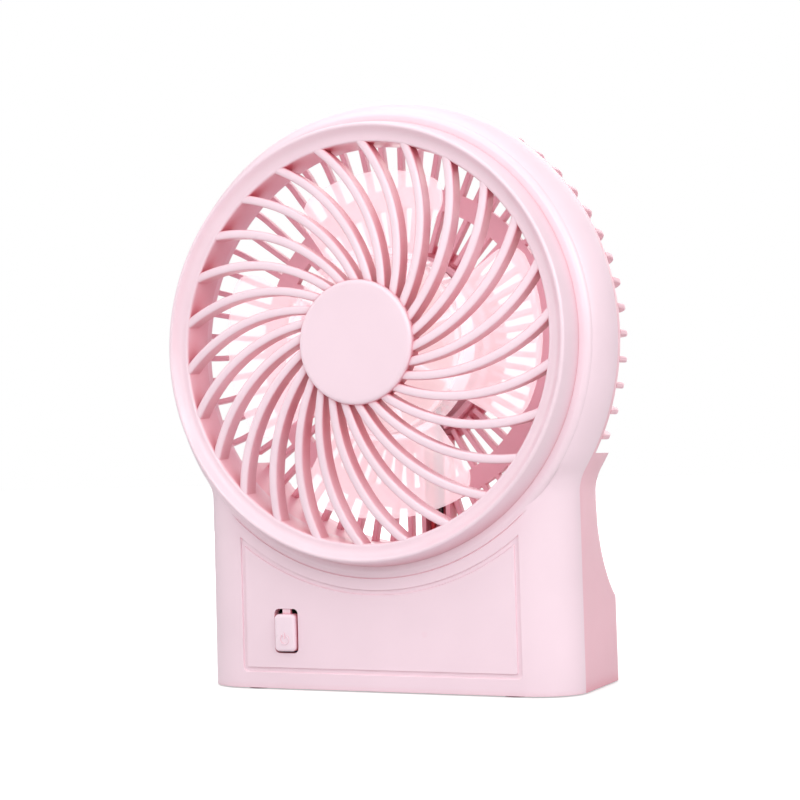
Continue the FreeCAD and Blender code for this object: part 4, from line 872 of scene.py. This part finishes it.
# The second colour given to each plastic finish is its painted shade in recesses.
FINISHES = {
    "steel": metal("steel_metal", (0.62, 0.62, 0.63), 0.34, 0.9),
    "nickel": metal("nickel_metal", (0.72, 0.70, 0.64), 0.28, 0.9),
    "bronze": metal("bronze_metal", (0.62, 0.42, 0.22), 0.42),
    "copper": metal("copper_metal", (0.85, 0.44, 0.26), 0.3),
    "nylon": plastic("nylon_plastic", (0.78, 0.74, 0.68), (0.45, 0.36, 0.32), roughness=0.45),
    "ferrite": plastic("ferrite_grey", (0.06, 0.06, 0.065), (0.02, 0.02, 0.02), roughness=0.55, grain=0.2),
    "clear_plastic": plastic("lamp_plastic", (0.92, 0.70, 0.78), (0.88, 0.62, 0.70), roughness=0.3,
                             shade=1.0),
    "board_green": plastic("board_green_mask", (0.03, 0.20, 0.09), (0.01, 0.06, 0.03), roughness=0.3,
                           coat=0.3),
    "sleeve_blue": plastic("sleeve_blue_film", (0.05, 0.16, 0.45), (0.02, 0.05, 0.15), roughness=0.22,
                           coat=0.4),
    "foam": plastic("foam_dark", (0.10, 0.10, 0.10), (0.03, 0.03, 0.03), roughness=0.9, grain=0.6),
    "lead_red": plastic("lead_red_jacket", (0.50, 0.03, 0.04), (0.18, 0.01, 0.01), roughness=0.38),
    "lead_black": plastic("lead_black_jacket", (0.025, 0.022, 0.024), (0.01, 0.01, 0.01), roughness=0.38),
    "rubber": plastic("foot_rubber", (0.62, 0.42, 0.48), (0.35, 0.2, 0.24), roughness=0.75, grain=0.4),
}
SHELL_SLOTS = {"shell_pink": shell_pink, "button_pink": button_pink, "blade_pink": blade_pink}
for part in frame["record"]["subparts"]:
    node = frame["nodes"].get(part["node"])
    finish = FINISHES.get(part["material_slot"]) or SHELL_SLOTS.get(part["material_slot"])
    if node and finish:
        node.data.materials.clear()
        node.data.materials.append(finish)


# ---------------------------------------------------------------- floor, light and backdrop

FLOOR_REACH = 3.0


def make_floor():
    mesh = bpy.data.meshes.new("floor")
    mesh.from_pydata([(x, y, 0) for x, y in ((-FLOOR_REACH, -FLOOR_REACH), (FLOOR_REACH, -FLOOR_REACH),
                                             (FLOOR_REACH, FLOOR_REACH), (-FLOOR_REACH, FLOOR_REACH))], [],
                     [(0, 1, 2, 3)])
    floor = bpy.data.objects.new("floor", mesh)
    bpy.context.scene.collection.objects.link(floor)
    material, nodes, links, shader = start_material("floor_pale")
    set_all(shader, Base_Color=(0.6, 0.6, 0.6, 1), Roughness=0.9, Specular_IOR_Level=0.1,
            Emission_Color=(1, 1, 1, 1))
    # The floor glows for the eye alone, more with distance: pale all over, without lighting the fan.
    place, away, glow, ray, seen = (nodes.new("ShaderNode" + kind)
                                    for kind in ("TexCoord", "VectorMath", "MapRange", "LightPath", "Math"))
    away.operation = "LENGTH"
    seen.operation = "MULTIPLY"
    set_all(glow, From_Min=0.06, From_Max=0.4, To_Min=0.5, To_Max=1.0)
    links.new(place.outputs["Object"], away.inputs[0])
    links.new(away.outputs["Value"], glow.inputs["Value"])
    links.new(glow.outputs["Result"], seen.inputs[0])
    links.new(ray.outputs["Is Camera Ray"], seen.inputs[1])
    links.new(seen.outputs["Value"], shader.inputs["Emission Strength"])
    mesh.materials.append(material)


AIM_UNDER = 0.012


def area_light(name, azimuth, elevation, distance, size, power):
    """A soft square lamp aimed at the fan's middle: angles in degrees, lengths in metres, power in watts."""
    data = bpy.data.lights.new(name, "AREA")
    data.shape = "SQUARE"
    data.size = size
    data.energy = power
    lamp = bpy.data.objects.new(name, data)
    turn, rise = math.radians(azimuth), math.radians(elevation)
    away = Vector((math.sin(turn) * math.cos(rise), -math.cos(turn) * math.cos(rise), math.sin(rise)))
    lamp.location = HUB + Vector((0, 0, -AIM_UNDER)) + away * distance
    lamp.rotation_euler = away.to_track_quat("Z", "Y").to_euler()
    bpy.context.scene.collection.objects.link(lamp)


def make_world():
    """A white backdrop for the eye, and a softer white light for everything else."""
    world = bpy.data.worlds.new("world")
    world.use_nodes = True
    nodes, links = world.node_tree.nodes, world.node_tree.links
    seen, lit = nodes["Background"], nodes.new("ShaderNodeBackground")
    set_all(seen, Color=(1, 1, 1, 1), Strength=1.0)
    set_all(lit, Color=(1, 1, 1, 1), Strength=0.44)
    ray, mix = nodes.new("ShaderNodeLightPath"), nodes.new("ShaderNodeMixShader")
    links.new(ray.outputs["Is Camera Ray"], mix.inputs["Fac"])
    links.new(lit.outputs["Background"], mix.inputs[1])
    links.new(seen.outputs["Background"], mix.inputs[2])
    links.new(mix.outputs["Shader"], nodes["World Output"].inputs["Surface"])
    bpy.context.scene.world = world


make_floor()
make_world()
area_light("key", 14, 26, 0.5, 0.3, 0.68)
area_light("top", -40, 76, 0.7, 0.8, 2.6)
area_light("fill", -25, 20, 0.9, 0.7, 0.3)
area_light("back", 190, 15, 0.8, 0.9, 5.0)
area_light("right", 60, 24, 0.6, 0.3, 1.15)
area_light("left", -70, 14, 0.6, 0.3, 0.35)
bpy.context.scene.view_settings.view_transform = "Standard"
